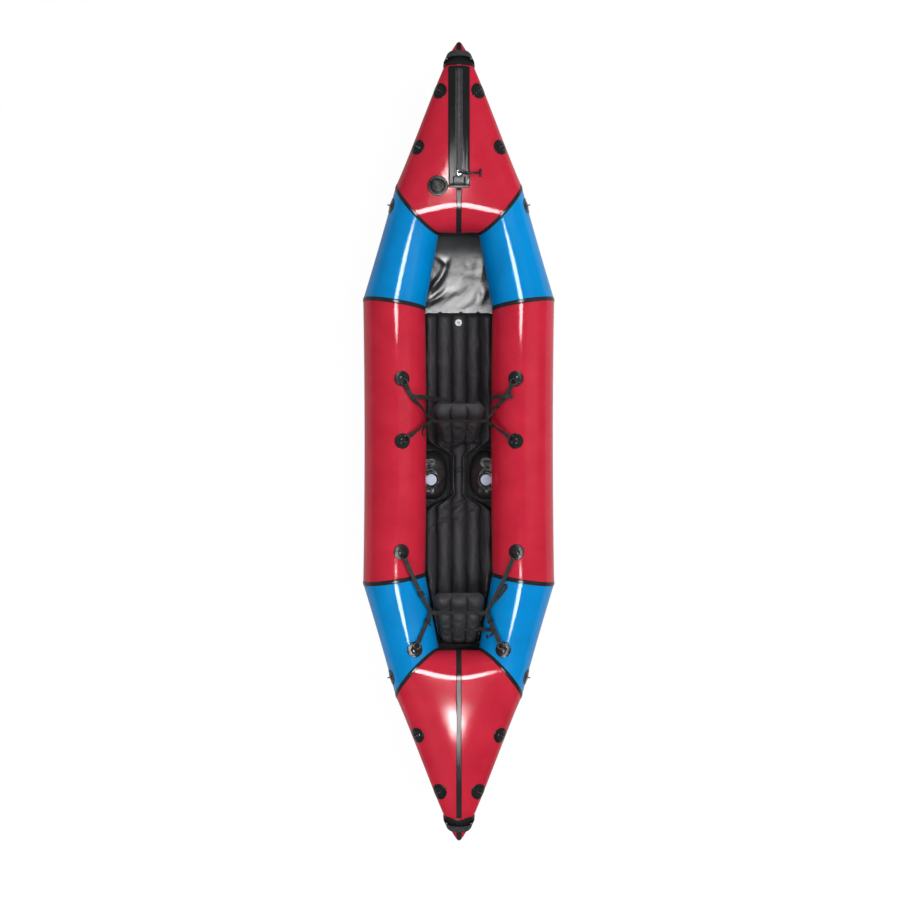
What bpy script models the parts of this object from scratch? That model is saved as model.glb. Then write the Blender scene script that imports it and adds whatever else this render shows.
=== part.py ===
"""A two-seat packraft, in metres.

+Y runs from stern to bow, +X to starboard and +Z up. The origin is in the middle
of the floor's underside, which is what the boat stands on. The hull is the same
fore and aft and port and starboard, so it is worked out once, for the starboard
half of the bow, and mirrored. Everything welded to it is laid on its skin.
"""

import math

import bmesh
import bpy
from mathutils import Vector
from mathutils.bvhtree import BVHTree

# Fits
CLEARANCE = 0.0003
SEAM_GAP = 0.0003

# Hull tube
LENGTH = 3.658
BEAM = 0.905
WAIST_DRAW_IN = 0.012
TUBE_RADIUS = 0.147
SIDE_SEAM_Y = 0.649
SIDE_SEAM_SKEW = 0.022
COCKPIT_LENGTH = 1.958
COCKPIT_END_WIDTH = 0.192
END_SEAM_OUTER_X = 0.290
END_SEAM_OUTER_Y = 1.201
END_RADIUS = 0.124
END_SEAM_LEAN = 0.038
DECK_SLOPE = 0.04
NOSE_DROP = 0.020
NOSE_BLUNTNESS = 0.45
ROCKER_START = 0.60
ROCKER_RISE = 0.0734
TUBE_SIDES = 32
SIDE_STEPS = 4
SHOULDER_STEPS = 5
END_STEPS = 6
SKIN_STEPS = 16
SKIN_SIDES = 96

# The hull's wall, heavier than the real cloth so that each panel is a solid, and its plainer inside
HULL_WALL = 0.003
INSIDE_SIDES = 16
INSIDE_SIDE_STEPS = 2
INSIDE_SHOULDER_STEPS = 3
INSIDE_END_STEPS = 4

# Floor sheet, cut to lap this far past the tube's lowest line
FLOOR_THICKNESS = 0.003
FLOOR_LAP = 0.030

# Welded patches and tapes
TAPE_LIFT = 0.0008
PATCH_LIFT = 0.0011
NOSE_LIFT = 0.0018
PATCH_THICKNESS = 0.0018
PATCH_SIDES = 12
TAPE_WIDTH = 0.024
TAPE_THICKNESS = 0.0012
TAPE_START_TURN = 205
TAPE_STEP = 8

# Tie-downs: the panel, the place along it from its seam, the angle up the tube and the lift
TIE_DOWN_PLACES = (("end", 0.63, 30, NOSE_LIFT), ("end", 0.31, 38, 0.0014), ("shoulder", 0.842, 26, PATCH_LIFT))
TIE_DOWN_RADIUS = 0.036
TIE_DOWN_LOOP = 0.013
TIE_DOWN_WIRE = 0.0028

# Seat anchors
ANCHOR_RADIUS = 0.036
ANCHOR_DOME_RADIUS = 0.018
ANCHOR_DOME_HEIGHT = 0.007
ANCHOR_RING = 0.014
ANCHOR_WIRE = 0.003
ANCHOR_RING_TILT = 12
ANCHOR_TURN = 105
REAR_STAY_ANCHOR_TURN = 108
REAR_STAY_ANCHOR_SHARE = 0.815
FRONT_BELT_ANCHOR_Y = 0.292
FRONT_STAY_ANCHOR_Y = 0.001
REAR_BELT_ANCHOR_Y = -0.516

# Cargo zipper on the bow deck
ZIP_START_Y = 1.163
ZIP_END_Y = 1.716
ZIP_BACKING_WIDTH = 0.098
ZIP_BACKING_THICKNESS = 0.0012
ZIP_BAND = 0.016
ZIP_BAND_THICKNESS = 0.0026
ZIP_CHAIN_WIDTH = 0.034
ZIP_CHAIN_THICKNESS = 0.0016
ZIP_RIDGE_WIDTH = 0.012
ZIP_RIDGE_HEIGHT = 0.0056
ZIP_STOP_Y = 1.695
ZIP_STOP_LENGTH = 0.008
ZIP_STOP_WIDTH = 0.019
ZIP_STOP_HEIGHT = 0.009
DOCK_START_Y = 1.181
DOCK_LENGTH = 0.032
DOCK_WIDTH = 0.056
DOCK_HEIGHT = 0.009
SLIDER_LENGTH = 0.030
SLIDER_WIDTH = 0.025
SLIDER_HEIGHT = 0.012
SLIDER_FIT = 0.0006
SLIDER_PARKING = 0.002
PULL_LENGTH = 0.100
PULL_WIDTH = 0.009
PULL_THICKNESS = 0.004
PULL_BAR_LENGTH = 0.037
PULL_BAR_WIDTH = 0.007
PULL_PIN = 0.0018
PULL_DROOP = 9

# Main valve on the bow deck
VALVE_X = -0.0970
VALVE_Y = 1.172
VALVE_FLANGE_RADIUS = 0.047
VALVE_RIM_RADIUS = 0.032
VALVE_RIM_WALL = 0.0035
VALVE_RISE = 0.010
VALVE_BOTTOM = 0.0035
VALVE_CAP_RISE = 0.003

# Screw caps: a spigot under each cap's middle, and grip notches round its edge
SPIGOT_HEIGHT = 0.0025
GRIP_DEPTH = 0.0011

# Inflatable mat
MAT_FRONT_Y = 0.629
MAT_REAR_Y = -0.979
MAT_TUCK = 0.0275
MAT_HEIGHT = 0.055
MAT_CHAMBERS = 5
MAT_CHANNEL = 0.38
MAT_TAPER_Y = -0.620
MAT_TAPER = 0.20
MAT_WAIST_Y = -0.162
MAT_WAIST_WIDTH = 0.092
MAT_WAIST_LENGTH = 0.170
MAT_WAIST_RUN = 0.100
MAT_EDGE = 0.006
MAT_ROUNDING = 0.035
MAT_COLUMNS = 24
MAT_VALVE_Y = 0.574
MAT_VALVE_RADIUS = 0.0165
MAT_VALVE_SINK = 0.004

# Brace cushions beside the mat's waist
BRACE_MAT_GAP = 0.006
BRACE_HALF_LENGTH = 0.126
BRACE_HEIGHT = 0.086
BRACE_TUBE_GAP = 0.004
BRACE_EDGE = 0.0036
BRACE_VALVE_INSET = 0.0205
BRACE_VALVE_Y = -0.183
BRACE_VALVE_Z = 0.080
BRACE_VALVE_RADIUS = 0.033
BRACE_CAP_RADIUS = 0.027

# Backrests, leaning forward over their hinges
BACK_HEIGHT = 0.290
BACK_BASE_WIDTH = 0.180
BACK_TOP_WIDTH = 0.250
BACK_THICKNESS = 0.075
BACK_CHAMBERS = 3
BACK_CHANNEL = 0.34
BACK_CREASE = 0.20
BACK_CREASE_HALF_WIDTH = 0.014
BACK_ROUNDING = 0.050
FRONT_BACK_Y = 0.007
FRONT_BACK_Z = 0.0665
FRONT_BACK_LEAN = 35
REAR_BACK_Y = -0.955
REAR_BACK_Z = 0.1080
REAR_BACK_LEAN = 60

# Webbing
# Where a belt passes the side tube: the place along it, the angle up it and how far off its skin
FRONT_BELT_LEAD = ((0.2080, 121.8, 0.0115), (0.1639, 136.7, 0.0245))
REAR_BELT_LEAD = ((-0.6910, 133.3, 0.0210),)
STRAP_WIDTH = 0.020
STRAP_THICKNESS = 0.002
BELT_HEIGHT = 0.200
BELT_HALF_FLAT = 0.084
BELT_HALF_SPAN = 0.128
BELT_EDGE_DROP = 0.004
BELT_STEPS = 24
STAY_STEPS = 10
BUCKLE_LENGTH = 0.015
BUCKLE_WIDTH = 0.031
BUCKLE_THICKNESS = 0.009
BUCKLE_ROOM = 0.004

# Grab handles over the tips
HANDLE_PATCH_START_Y = 1.720
HANDLE_PATCH_END_Y = 1.784
HANDLE_PATCH_TURN = 115
HANDLE_FOOT_TURN = 82
HANDLE_FOOT_Y = 1.732
HANDLE_TOP_Y = 1.775
HANDLE_WIDTH = 0.025
HANDLE_THICKNESS = 0.003
HANDLE_STANDOFF = 0.024

FULL_TURN = 2 * math.pi
TUBE_BASE = FLOOR_THICKNESS + CLEARANCE
SEAT_ROOM = (BEAM - WAIST_DRAW_IN) / 2 - 2 * TUBE_RADIUS
MAT_WIDTH = 2 * (SEAT_ROOM + MAT_TUCK)
UNDER_TUBE = math.sqrt(TUBE_RADIUS**2 - (TUBE_RADIUS - BRACE_EDGE - BRACE_TUBE_GAP) ** 2)
BRACE_INNER_X = MAT_WAIST_WIDTH / 2 + BRACE_MAT_GAP
BRACE_OUTER_X = SEAT_ROOM + TUBE_RADIUS - UNDER_TUBE
DOWN = Vector((0, 0, -1))


def clear_scene():
    for item in list(bpy.data.objects):
        bpy.data.objects.remove(item)


def material(name, colour, roughness, metallic=0.0):
    made = bpy.data.materials.new(name)
    made.use_nodes = True
    shader = made.node_tree.nodes["Principled BSDF"]
    shader.inputs["Base Color"].default_value = (*colour, 1.0)
    shader.inputs["Roughness"].default_value = roughness
    shader.inputs["Metallic"].default_value = metallic
    return made


def add(name, shape, finish, origin=(0, 0, 0), parent=None, smooth=40):
    """Makes an object of a closed bmesh in world space, with its origin where asked."""
    bmesh.ops.recalc_face_normals(shape, faces=shape.faces)
    home = Vector(origin)
    bmesh.ops.translate(shape, verts=shape.verts, vec=-home)
    mesh = bpy.data.meshes.new(name)
    shape.to_mesh(mesh)
    shape.free()
    mesh.shade_smooth()
    mesh.set_sharp_from_angle(angle=math.radians(smooth))
    mesh.materials.append(finish)
    made = bpy.data.objects.new(name, mesh)
    bpy.context.scene.collection.objects.link(made)
    if parent:
        made.parent = parent
        made.location = home - parent.location
    else:
        made.location = home
    return made


def turns(count):
    return [FULL_TURN * i / count for i in range(count)]


def spread(low, high, steps):
    return [low + (high - low) * i / steps for i in range(steps + 1)]


def mirrored(points, side, end=1):
    return [Vector((p.x * side, p.y * end, p.z)) for p in points]


def ease(share):
    """A smooth step from 0 to 1."""
    share = min(1.0, max(0.0, share))
    return share * share * (3 - 2 * share)


def crown(distance, radius):
    """The rise of a rounded edge, from 0 on its outline to 1 once past its radius."""
    short = max(0.0, 1 - distance / radius)
    return math.sqrt(max(0.0, 1 - short**2))


def loft(rings, poles=None, closed=False):
    """A closed body through rings of points, ended by flat caps, by fans to two poles or by itself."""
    shape = bmesh.new()
    rows = [[shape.verts.new(point) for point in ring] for ring in rings]
    count = len(rows[0])
    after = rows[1:] + rows[:1] if closed else rows[1:]
    for lower, upper in zip(rows, after):
        for i in range(count):
            j = (i + 1) % count
            shape.faces.new((lower[i], lower[j], upper[j], upper[i]))
    if poles:
        for pole, row in zip(poles, (rows[0], rows[-1])):
            tip = shape.verts.new(pole)
            for i in range(count):
                shape.faces.new((tip, row[i], row[(i + 1) % count]))
    elif not closed:
        shape.faces.new(rows[0])
        shape.faces.new(rows[-1])
    return shape


def turned(profile, sides, centre):
    """A turned body: each entry is a radius, a height and the depth of the grip notches there."""
    rings = []
    for radius, height, notch in profile:
        reach = [radius - notch * (i % 2) for i in range(sides)]
        rings.append([centre + Vector((r * math.cos(t), r * math.sin(t), height))
                      for r, t in zip(reach, turns(sides))])
    return loft(rings)


def slab(under, over):
    """A closed sheet between two grids of points."""
    shape = bmesh.new()
    low = [[shape.verts.new(point) for point in row] for row in under]
    high = [[shape.verts.new(point) for point in row] for row in over]
    last, end = len(low) - 1, len(low[0]) - 1
    for grid in (low, high):
        for row, following in zip(grid, grid[1:]):
            for j in range(end):
                shape.faces.new((row[j], row[j + 1], following[j + 1], following[j]))
    rim = [(0, j) for j in range(end)] + [(i, end) for i in range(last)]
    rim += [(last, j) for j in range(end, 0, -1)] + [(i, 0) for i in range(last, 0, -1)]
    for (i, j), (k, m) in zip(rim, rim[1:] + rim[:1]):
        shape.faces.new((low[i][j], low[k][m], high[k][m], high[i][j]))
    return shape


def swept(path, across, section, closed=False):
    """Sections carried along a path: each offset is one part across and one part square to that."""
    rings = []
    for i, point in enumerate(path):
        before = path[i - 1] if i or closed else point
        after = path[(i + 1) % len(path)] if closed or i + 1 < len(path) else point
        along = (after - before).normalized()
        wide = (across[i] - along * across[i].dot(along)).normalized()
        thick = along.cross(wide)
        rings.append([point + wide * a + thick * b for a, b in section])
    return loft(rings, closed=closed)


def flat_section(width, thickness):
    half, deep = width / 2, thickness / 2
    return [(-half, -deep), (half, -deep), (half, deep), (-half, deep)]


def round_section(radius, sides):
    return [(radius * math.cos(t), radius * math.sin(t)) for t in turns(sides)]


def curve_through(points, steps):
    """Evenly counted places on a smooth curve through the points."""
    ends = [points[0] * 2 - points[1]] + list(points) + [points[-1] * 2 - points[-2]]
    path = []
    for place in spread(0, len(points) - 1, steps):
        i = min(int(place), len(points) - 2)
        t = place - i
        a, b, c, d = ends[i:i + 4]
        bend = (a * 2 - b * 5 + c * 4 - d) * t**2 + (b * 3 - a - c * 3 + d) * t**3
        path.append((b * 2 + (c - a) * t + bend) / 2)
    return path


def combined(operation, *shapes):
    """One closed body of several that reach into each other."""
    bodies = []
    for shape in shapes:
        bmesh.ops.recalc_face_normals(shape, faces=shape.faces)
        mesh = bpy.data.meshes.new("piece")
        shape.to_mesh(mesh)
        shape.free()
        body = bpy.data.objects.new("piece", mesh)
        bpy.context.scene.collection.objects.link(body)
        bodies.append(body)
    for other in bodies[1:]:
        step = bodies[0].modifiers.new("combine", "BOOLEAN")
        step.operation = operation
        step.solver = "EXACT"
        step.object = other
    bpy.context.view_layer.update()
    graph = bpy.context.evaluated_depsgraph_get()
    result = bmesh.new()
    result.from_mesh(bodies[0].evaluated_get(graph).to_mesh())
    bmesh.ops.dissolve_degenerate(result, edges=result.edges, dist=0.00002)
    for body in bodies:
        bpy.data.objects.remove(body)
    return result


def rocker(y):
    """How far the bottom of the boat has risen off the ground at y."""
    past = max(0.0, abs(y) - ROCKER_START)
    reach = END_RING_BOTTOM_Y - ROCKER_START
    return ROCKER_RISE * (past / reach) ** 2


def end_ring_plan():
    """Centre, half width and lean of the seam between a shoulder and its end, seen from above."""
    outer = Vector((END_SEAM_OUTER_X, END_SEAM_OUTER_Y, 0))
    inner = Vector((COCKPIT_END_WIDTH / 2, COCKPIT_LENGTH / 2, 0))
    across = (outer - inner) / 2
    lean = Vector((across.y, -across.x, 0)).normalized() * END_SEAM_LEAN
    return (outer + inner) / 2, across, lean


END_RING_BOTTOM_Y = (end_ring_plan()[0] - end_ring_plan()[2]).y


def seated_ring(centre, across, up):
    """A section of the tube, raised so that its lowest point lies on the floor sheet."""
    height = TUBE_BASE + rocker(centre.y - up.y) + up.z
    return Vector((centre.x, centre.y, height)), across, up


def side_ring(share):
    """A section of the side tube, from -1 at the stern seam to 1 at the bow seam."""
    beam = BEAM - WAIST_DRAW_IN * (1 - share**2)
    centre = Vector((beam / 2 - TUBE_RADIUS, share * SIDE_SEAM_Y, 0))
    across = Vector((TUBE_RADIUS, SIDE_SEAM_SKEW * share, 0))
    return seated_ring(centre, across, Vector((0, 0, TUBE_RADIUS)))


def end_ring():
    """The leaning seam between a shoulder and the pointed end."""
    centre, across, lean = end_ring_plan()
    return seated_ring(centre, across, lean + Vector((0, 0, END_RADIUS)))


def shoulder_ring(share):
    """A section of the tapering shoulder, from 0 at the side seam to 1 at the end seam."""
    start, finish = side_ring(1), end_ring()
    return seated_ring(*(a.lerp(b, share) for a, b in zip(start, finish)))


def ring_point(ring, turn):
    """A point of a section: 0 is outboard, a quarter turn the crest, a half turn inboard."""
    centre, across, up = ring
    return centre + across * math.cos(turn) + up * math.sin(turn)


KNUCKLE_Y = COCKPIT_LENGTH / 2 + END_RADIUS
DECK_Z = end_ring()[0].z + END_RADIUS


def deck_line(y):
    """The straight crest of the bow deck."""
    return DECK_Z + DECK_SLOPE * (y - KNUCKLE_Y)


def profile_point(turn):
    """The end's outline on the centre plane: round at the cockpit, drawn out to the tip."""
    along, rise = math.cos(turn), math.sin(turn)
    if along <= 0:
        return Vector((0, KNUCKLE_Y + END_RADIUS * along, DECK_Z - END_RADIUS * (1 - rise)))
    y = KNUCKLE_Y + (LENGTH / 2 - KNUCKLE_Y) * along
    deck = deck_line(y) - NOSE_DROP * (1 - abs(rise)) ** 3
    keel = deck - 2 * END_RADIUS * abs(rise)
    return Vector((0, y, deck if rise >= 0 else keel))


def end_point(share, turn):
    """The pointed end's skin, from 0 at the seam to 1 on the centre plane, which it meets square."""
    start, finish = ring_point(end_ring(), turn), profile_point(turn)
    onward = share + share**2 - share**3
    blunt = NOSE_BLUNTNESS + (1 - NOSE_BLUNTNESS) * math.sin(turn) ** 2
    inward = share + (1 - blunt) * (share**2 - share**3)
    chord = finish - start
    return start + Vector((chord.x * inward, chord.y * onward, chord.z * onward))


def side_point(share, turn):
    return ring_point(side_ring(share), turn)


def shoulder_point(share, turn):
    return ring_point(shoulder_ring(share), turn)


def end_middle(share):
    """The middle of the pointed end's section, which its inside is drawn in towards."""
    return end_ring()[0].lerp(Vector((0, KNUCKLE_Y, DECK_Z - END_RADIUS)), share)


PANELS = {"side": side_point, "shoulder": shoulder_point, "end": end_point}
MIDDLES = {"side": lambda share: side_ring(share)[0], "shoulder": lambda share: shoulder_ring(share)[0],
           "end": end_middle}


def inside_ring(panel, share):
    """A plainer section of the panel's inside, a wall's thickness within its skin."""
    middle = MIDDLES[panel](share)
    keep = 1 - HULL_WALL / END_RADIUS
    return [middle.lerp(PANELS[panel](share, t), keep) for t in turns(INSIDE_SIDES)]


def sleeve(outer, inner):
    """A thin-walled tube, open at both ends, with more points round its outside than its inside."""
    shape = bmesh.new()
    skins = [[[shape.verts.new(point) for point in ring] for ring in rings] for rings in (outer, inner)]
    for rows in skins:
        count = len(rows[0])
        for lower, upper in zip(rows, rows[1:]):
            for i in range(count):
                j = (i + 1) % count
                shape.faces.new((lower[i], lower[j], upper[j], upper[i]))
    step = len(outer[0]) // len(inner[0])
    for rim, lip in ((skins[0][0], skins[1][0]), (skins[0][-1], skins[1][-1])):
        for i, here in enumerate(lip):
            fan = [rim[(i * step + k) % len(rim)] for k in range(step + 1)]
            for a, b in zip(fan[:-1], fan[1:-1]):
                shape.faces.new((here, a, b))
            shape.faces.new((here, fan[-2], fan[-1], lip[(i + 1) % len(lip)]))
    return shape


def panel_shares(panel, steps):
    """Places along a panel, trimmed a little at its seams."""
    if panel == "side":
        trim = SEAM_GAP / SIDE_SEAM_Y
        return spread(-1 + trim, 1 - trim, steps)
    if panel == "shoulder":
        trim = SEAM_GAP / (end_ring()[0] - side_ring(1)[0]).length
        return spread(trim, 1 - trim, steps)
    return spread(SEAM_GAP / 0.3, 1, steps)


def hull_panel(name, panel, steps, inside_steps, finish, side, end):
    """One panel of the air tube, a fabric sleeve that meets its neighbours at its open ends."""
    outer = [[PANELS[panel](s, t) for t in turns(TUBE_SIDES)] for s in panel_shares(panel, steps)]
    inner = [inside_ring(panel, s) for s in panel_shares(panel, inside_steps)]
    if panel == "end":
        outer, inner = (rings + [mirrored(ring, -1) for ring in reversed(rings[:-1])] for rings in (outer, inner))
    outer, inner = ([mirrored(ring, side, end) for ring in rings] for rings in (outer, inner))
    return add(name, sleeve(outer, inner), finish)


def hull(red, blue):
    """The panels of the air tube, each a body of its own from seam to seam."""
    panels = []
    for side, board in ((1, "starboard"), (-1, "port")):
        panels.append(hull_panel(f"{board}_side_tube", "side", SIDE_STEPS, INSIDE_SIDE_STEPS, red, side, 1))
        for end, where in ((1, "bow"), (-1, "stern")):
            panels.append(hull_panel(f"{board}_{where}_shoulder", "shoulder", SHOULDER_STEPS,
                                     INSIDE_SHOULDER_STEPS, blue, side, end))
    for end, where in ((1, "bow"), (-1, "stern")):
        panels.append(hull_panel(f"{where}_cone", "end", END_STEPS, INSIDE_END_STEPS, red, 1, end))
    return panels


def hull_skin(panels):
    """The hull's panels with a fine net of the same surface, to lay welded pieces on both."""
    points, faces = [], []
    for item in panels:
        item.data.calc_loop_triangles()
        first = len(points)
        points.extend(item.location + vertex.co for vertex in item.data.vertices)
        faces.extend([first + i for i in triangle.vertices] for triangle in item.data.loop_triangles)
    for panel, low, ends in (("side", -1, (1,)), ("shoulder", 0, (1, -1)), ("end", 0, (1, -1))):
        rows = [[PANELS[panel](s, t) for t in turns(SKIN_SIDES)] for s in spread(low, 1, SKIN_STEPS)]
        for side in (1, -1):
            for end in ends:
                first = len(points)
                for row in rows:
                    points.extend(mirrored(row, side, end))
                for i in range(SKIN_STEPS):
                    a = first + i * SKIN_SIDES
                    b = a + SKIN_SIDES
                    for j in range(SKIN_SIDES):
                        k = (j + 1) % SKIN_SIDES
                        faces.append((a + j, a + k, b + k, b + j))
    return BVHTree.FromPolygons(points, faces)


def laid(skin, point, inward, lift):
    """Where a straight line inward from the point meets the skin, lifted off it again."""
    return skin.ray_cast(point, inward)[0] - inward * lift


def deck_at(skin, x, y, lift=0.0):
    return laid(skin, Vector((x, y, 1)), DOWN, lift)


def floor_rings():
    """The tube's sections above the starboard edge of the floor, from stern to bow."""
    sides = [side_ring(share) for share in panel_shares("side", SIDE_STEPS)]
    bow = [shoulder_ring(share) for share in panel_shares("shoulder", SHOULDER_STEPS)]
    stern = [mirrored(ring, 1, -1) for ring in reversed(bow)]
    return stern + sides + bow


def floor_top(y):
    """The height of the floor sheet's upper side, which is straight between the tube's sections."""
    line = [centre.y - up.y for centre, across, up in floor_rings()]
    for a, b in zip(line, line[1:]):
        if y <= b:
            break
    share = (y - a) / (b - a)
    return FLOOR_THICKNESS + rocker(a) * (1 - share) + rocker(b) * share


def floor_sheet(finish):
    """A sheet welded to the tube's lowest line, lapping a little way out under it."""
    rings = []
    for centre, across, up in floor_rings():
        contact = Vector((centre.x - up.x, centre.y - up.y, rocker(centre.y - up.y)))
        low = [contact, contact + across.normalized() * FLOOR_LAP]
        low = mirrored(reversed(low), -1) + low
        rings.append(low + [point + Vector((0, 0, FLOOR_THICKNESS)) for point in reversed(low)])
    add("floor_sheet", loft(rings), finish)


def centre_tape(name, skin, last_y, end, finish):
    """Tape over the seam on the centre plane, up out of the cockpit and along the deck to last_y."""
    last = math.acos((last_y - KNUCKLE_Y) / (LENGTH / 2 - KNUCKLE_Y))
    first = math.radians(TAPE_START_TURN)
    steps = math.ceil(math.degrees(first - last) / TAPE_STEP)
    under, over = [], []
    for turn in spread(first, last, steps):
        along = (profile_point(turn - 0.01) - profile_point(turn + 0.01)).normalized()
        outward = Vector((0, -along.z, along.y))
        rows = [profile_point(turn) + outward * 0.03 + Vector((x, 0, 0))
                for x in spread(-TAPE_WIDTH / 2, TAPE_WIDTH / 2, 2)]
        low = [laid(skin, point, -outward, TAPE_LIFT) for point in rows]
        under.append(mirrored(low, 1, end))
        over.append(mirrored([point + outward * TAPE_THICKNESS for point in low], 1, end))
    add(name, slab(under, over), finish)


def zip_backing(skin, finish):
    """The tape that the zipper is welded by, with a thicker band across its cockpit end."""
    half = ZIP_BACKING_WIDTH / 2
    band_end = ZIP_START_Y + ZIP_BAND
    under, over = [], []
    for y in [ZIP_START_Y, band_end, band_end + CLEARANCE] + spread(band_end, ZIP_END_Y, 11)[1:]:
        thick = ZIP_BAND_THICKNESS if y <= band_end else ZIP_BACKING_THICKNESS
        low = [deck_at(skin, x, y, TAPE_LIFT) for x in spread(-half, half, 6)]
        under.append(low)
        over.append([point + Vector((0, 0, thick)) for point in low])
    add("zip_backing", slab(under, over), finish)


def deck_ring(y, section):
    """A section of something lying along the deck: offsets across and up from the zipper's base."""
    base = deck_line(y) + TAPE_LIFT + ZIP_BACKING_THICKNESS + CLEARANCE
    return [Vector((x, y, base + up)) for x, up in section]


def both_sides(half):
    """A whole section from its starboard half, given from the bottom up."""
    return half + [(-x, up) for x, up in reversed(half)]


def zip_chain_section(width, height):
    return both_sides([(ZIP_CHAIN_WIDTH / 2, 0), (ZIP_CHAIN_WIDTH / 2, ZIP_CHAIN_THICKNESS),
                       (width / 2, ZIP_CHAIN_THICKNESS + 0.0002), (width / 2, height - 0.0012),
                       (width / 2 - 0.0015, height)])


def zip_chain(finish):
    plain = zip_chain_section(ZIP_RIDGE_WIDTH, ZIP_RIDGE_HEIGHT)
    stop = zip_chain_section(ZIP_STOP_WIDTH, ZIP_STOP_HEIGHT)
    stop_end = ZIP_STOP_Y + ZIP_STOP_LENGTH
    start = DOCK_START_Y + DOCK_LENGTH + CLEARANCE
    places = [(start, plain), (ZIP_STOP_Y - 0.0002, plain), (ZIP_STOP_Y, stop), (stop_end, stop)]
    add("zip_chain", loft([deck_ring(y, section) for y, section in places]), finish, smooth=30)


def zip_dock(finish):
    """The rubber block that the slider is parked against."""
    rings = []
    for share, trim in ((0, 0.004), (0.12, 0), (0.45, 0), (0.5, 0.0025), (0.6, 0.0025), (0.65, 0), (1, 0)):
        half, top = DOCK_WIDTH / 2 - trim, DOCK_HEIGHT - trim
        section = both_sides([(half - 0.002, 0), (half, 0.002), (half - 0.006, top - 0.002), (half - 0.011, top)])
        rings.append(deck_ring(DOCK_START_Y + DOCK_LENGTH * share, section))
    add("zip_dock", loft(rings), finish, smooth=30)


def slider_middle():
    return DOCK_START_Y + DOCK_LENGTH + SLIDER_PARKING + SLIDER_LENGTH / 2


def pull_pin():
    """The middle of the pin that the pull swings on."""
    y = slider_middle()
    return deck_ring(y, [(0, SLIDER_HEIGHT + 0.005)])[0]


def deck_direction():
    return Vector((0, 1, DECK_SLOPE)).normalized()


def zip_slider(finish):
    """A shoe over the chain's ridge, with a pin between two lugs for the pull."""
    wide, top = SLIDER_WIDTH / 2, SLIDER_HEIGHT
    inner, roof = ZIP_RIDGE_WIDTH / 2 + SLIDER_FIT, ZIP_RIDGE_HEIGHT + SLIDER_FIT
    sill = ZIP_CHAIN_THICKNESS + SLIDER_FIT
    rings = []
    for share, trim in ((0, 0.0025), (0.15, 0), (0.75, 0), (1, 0.0045)):
        half = [(inner, roof), (inner, sill), (wide - trim, sill), (wide - trim, top - 0.004 - trim / 2),
                (wide - 0.004 - trim, top - trim / 2)]
        y = slider_middle() + SLIDER_LENGTH * (share - 0.5)
        rings.append(deck_ring(y, half + [(-x, up) for x, up in reversed(half)]))
    shoe = loft(rings)
    lugs = []
    for shift in (-1, 1):
        y = slider_middle() + shift * (PULL_WIDTH / 2 + 0.0022)
        lug = [(0.0045, top - 0.003), (0.0045, top + 0.0055), (0.003, top + 0.008)]
        lug += [(-x, up) for x, up in reversed(lug)]
        lugs.append(loft([deck_ring(y - 0.0015, lug), deck_ring(y + 0.0015, lug)]))
    reach = deck_direction() * (PULL_WIDTH / 2 + 0.002)
    pin = swept([pull_pin() - reach, pull_pin() + reach], [Vector((1, 0, 0))] * 2, round_section(PULL_PIN, 8))
    shape = combined("UNION", shoe, *lugs, pin)
    home = deck_ring(slider_middle(), [(0, 0)])[0]
    return add("zip_slider", shape, finish, origin=home, smooth=30)


def zip_pull(slider, finish):
    """A T-shaped pull with an eye round the slider's pin, lying out to starboard."""
    droop = math.radians(PULL_DROOP)
    out = Vector((math.cos(droop), 0, -math.sin(droop)))
    along = deck_direction()
    over = out.cross(along)
    half, thick, bar = PULL_WIDTH / 2, PULL_THICKNESS / 2, PULL_BAR_LENGTH / 2
    hole, eye = PULL_PIN + 0.0006, PULL_PIN + 0.0032
    pin = pull_pin()
    rings = [[pin + (out * math.cos(t) + over * math.sin(t)) * reach + along * lift for t in turns(12)]
             for reach, lift in ((hole, -half), (eye, -half), (eye, half), (hole, half))]
    ring = loft(rings, closed=True)
    stem = []
    for reach, wide in ((eye - 0.001, half * 0.85), (PULL_LENGTH, half * 0.75)):
        stem.append([pin + out * reach + along * a + over * b
                     for a, b in ((-wide, -thick), (wide, -thick), (wide, thick), (-wide, thick))])
    head = []
    for reach, wide in ((-1, bar - 0.002), (-0.5, bar), (0.5, bar), (1, bar - 0.002)):
        place = pin + out * (PULL_LENGTH + reach * PULL_BAR_WIDTH / 2)
        head.append([place + along * a + over * b for a, b in
                     ((-wide, -thick * 1.4), (wide, -thick * 1.4), (wide, thick * 1.4), (-wide, thick * 1.4))])
    shape = combined("UNION", ring, loft(stem), loft(head))
    return add("zip_pull", shape, finish, origin=pin, parent=slider, smooth=30)


def cap_profile(radius, height, spigot):
    """A screw cap with a hole under its middle for the spigot, grip notches and a dished top."""
    room = spigot + CLEARANCE
    return [(room, SPIGOT_HEIGHT + CLEARANCE, 0), (room, 0, 0), (radius - 0.0012, 0, 0),
            (radius, 0.0012, GRIP_DEPTH), (radius, height - 0.0016, GRIP_DEPTH),
            (radius - 0.0030, height, 0), (radius * 0.62, height, 0), (radius * 0.56, height - 0.0010, 0)]


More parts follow.
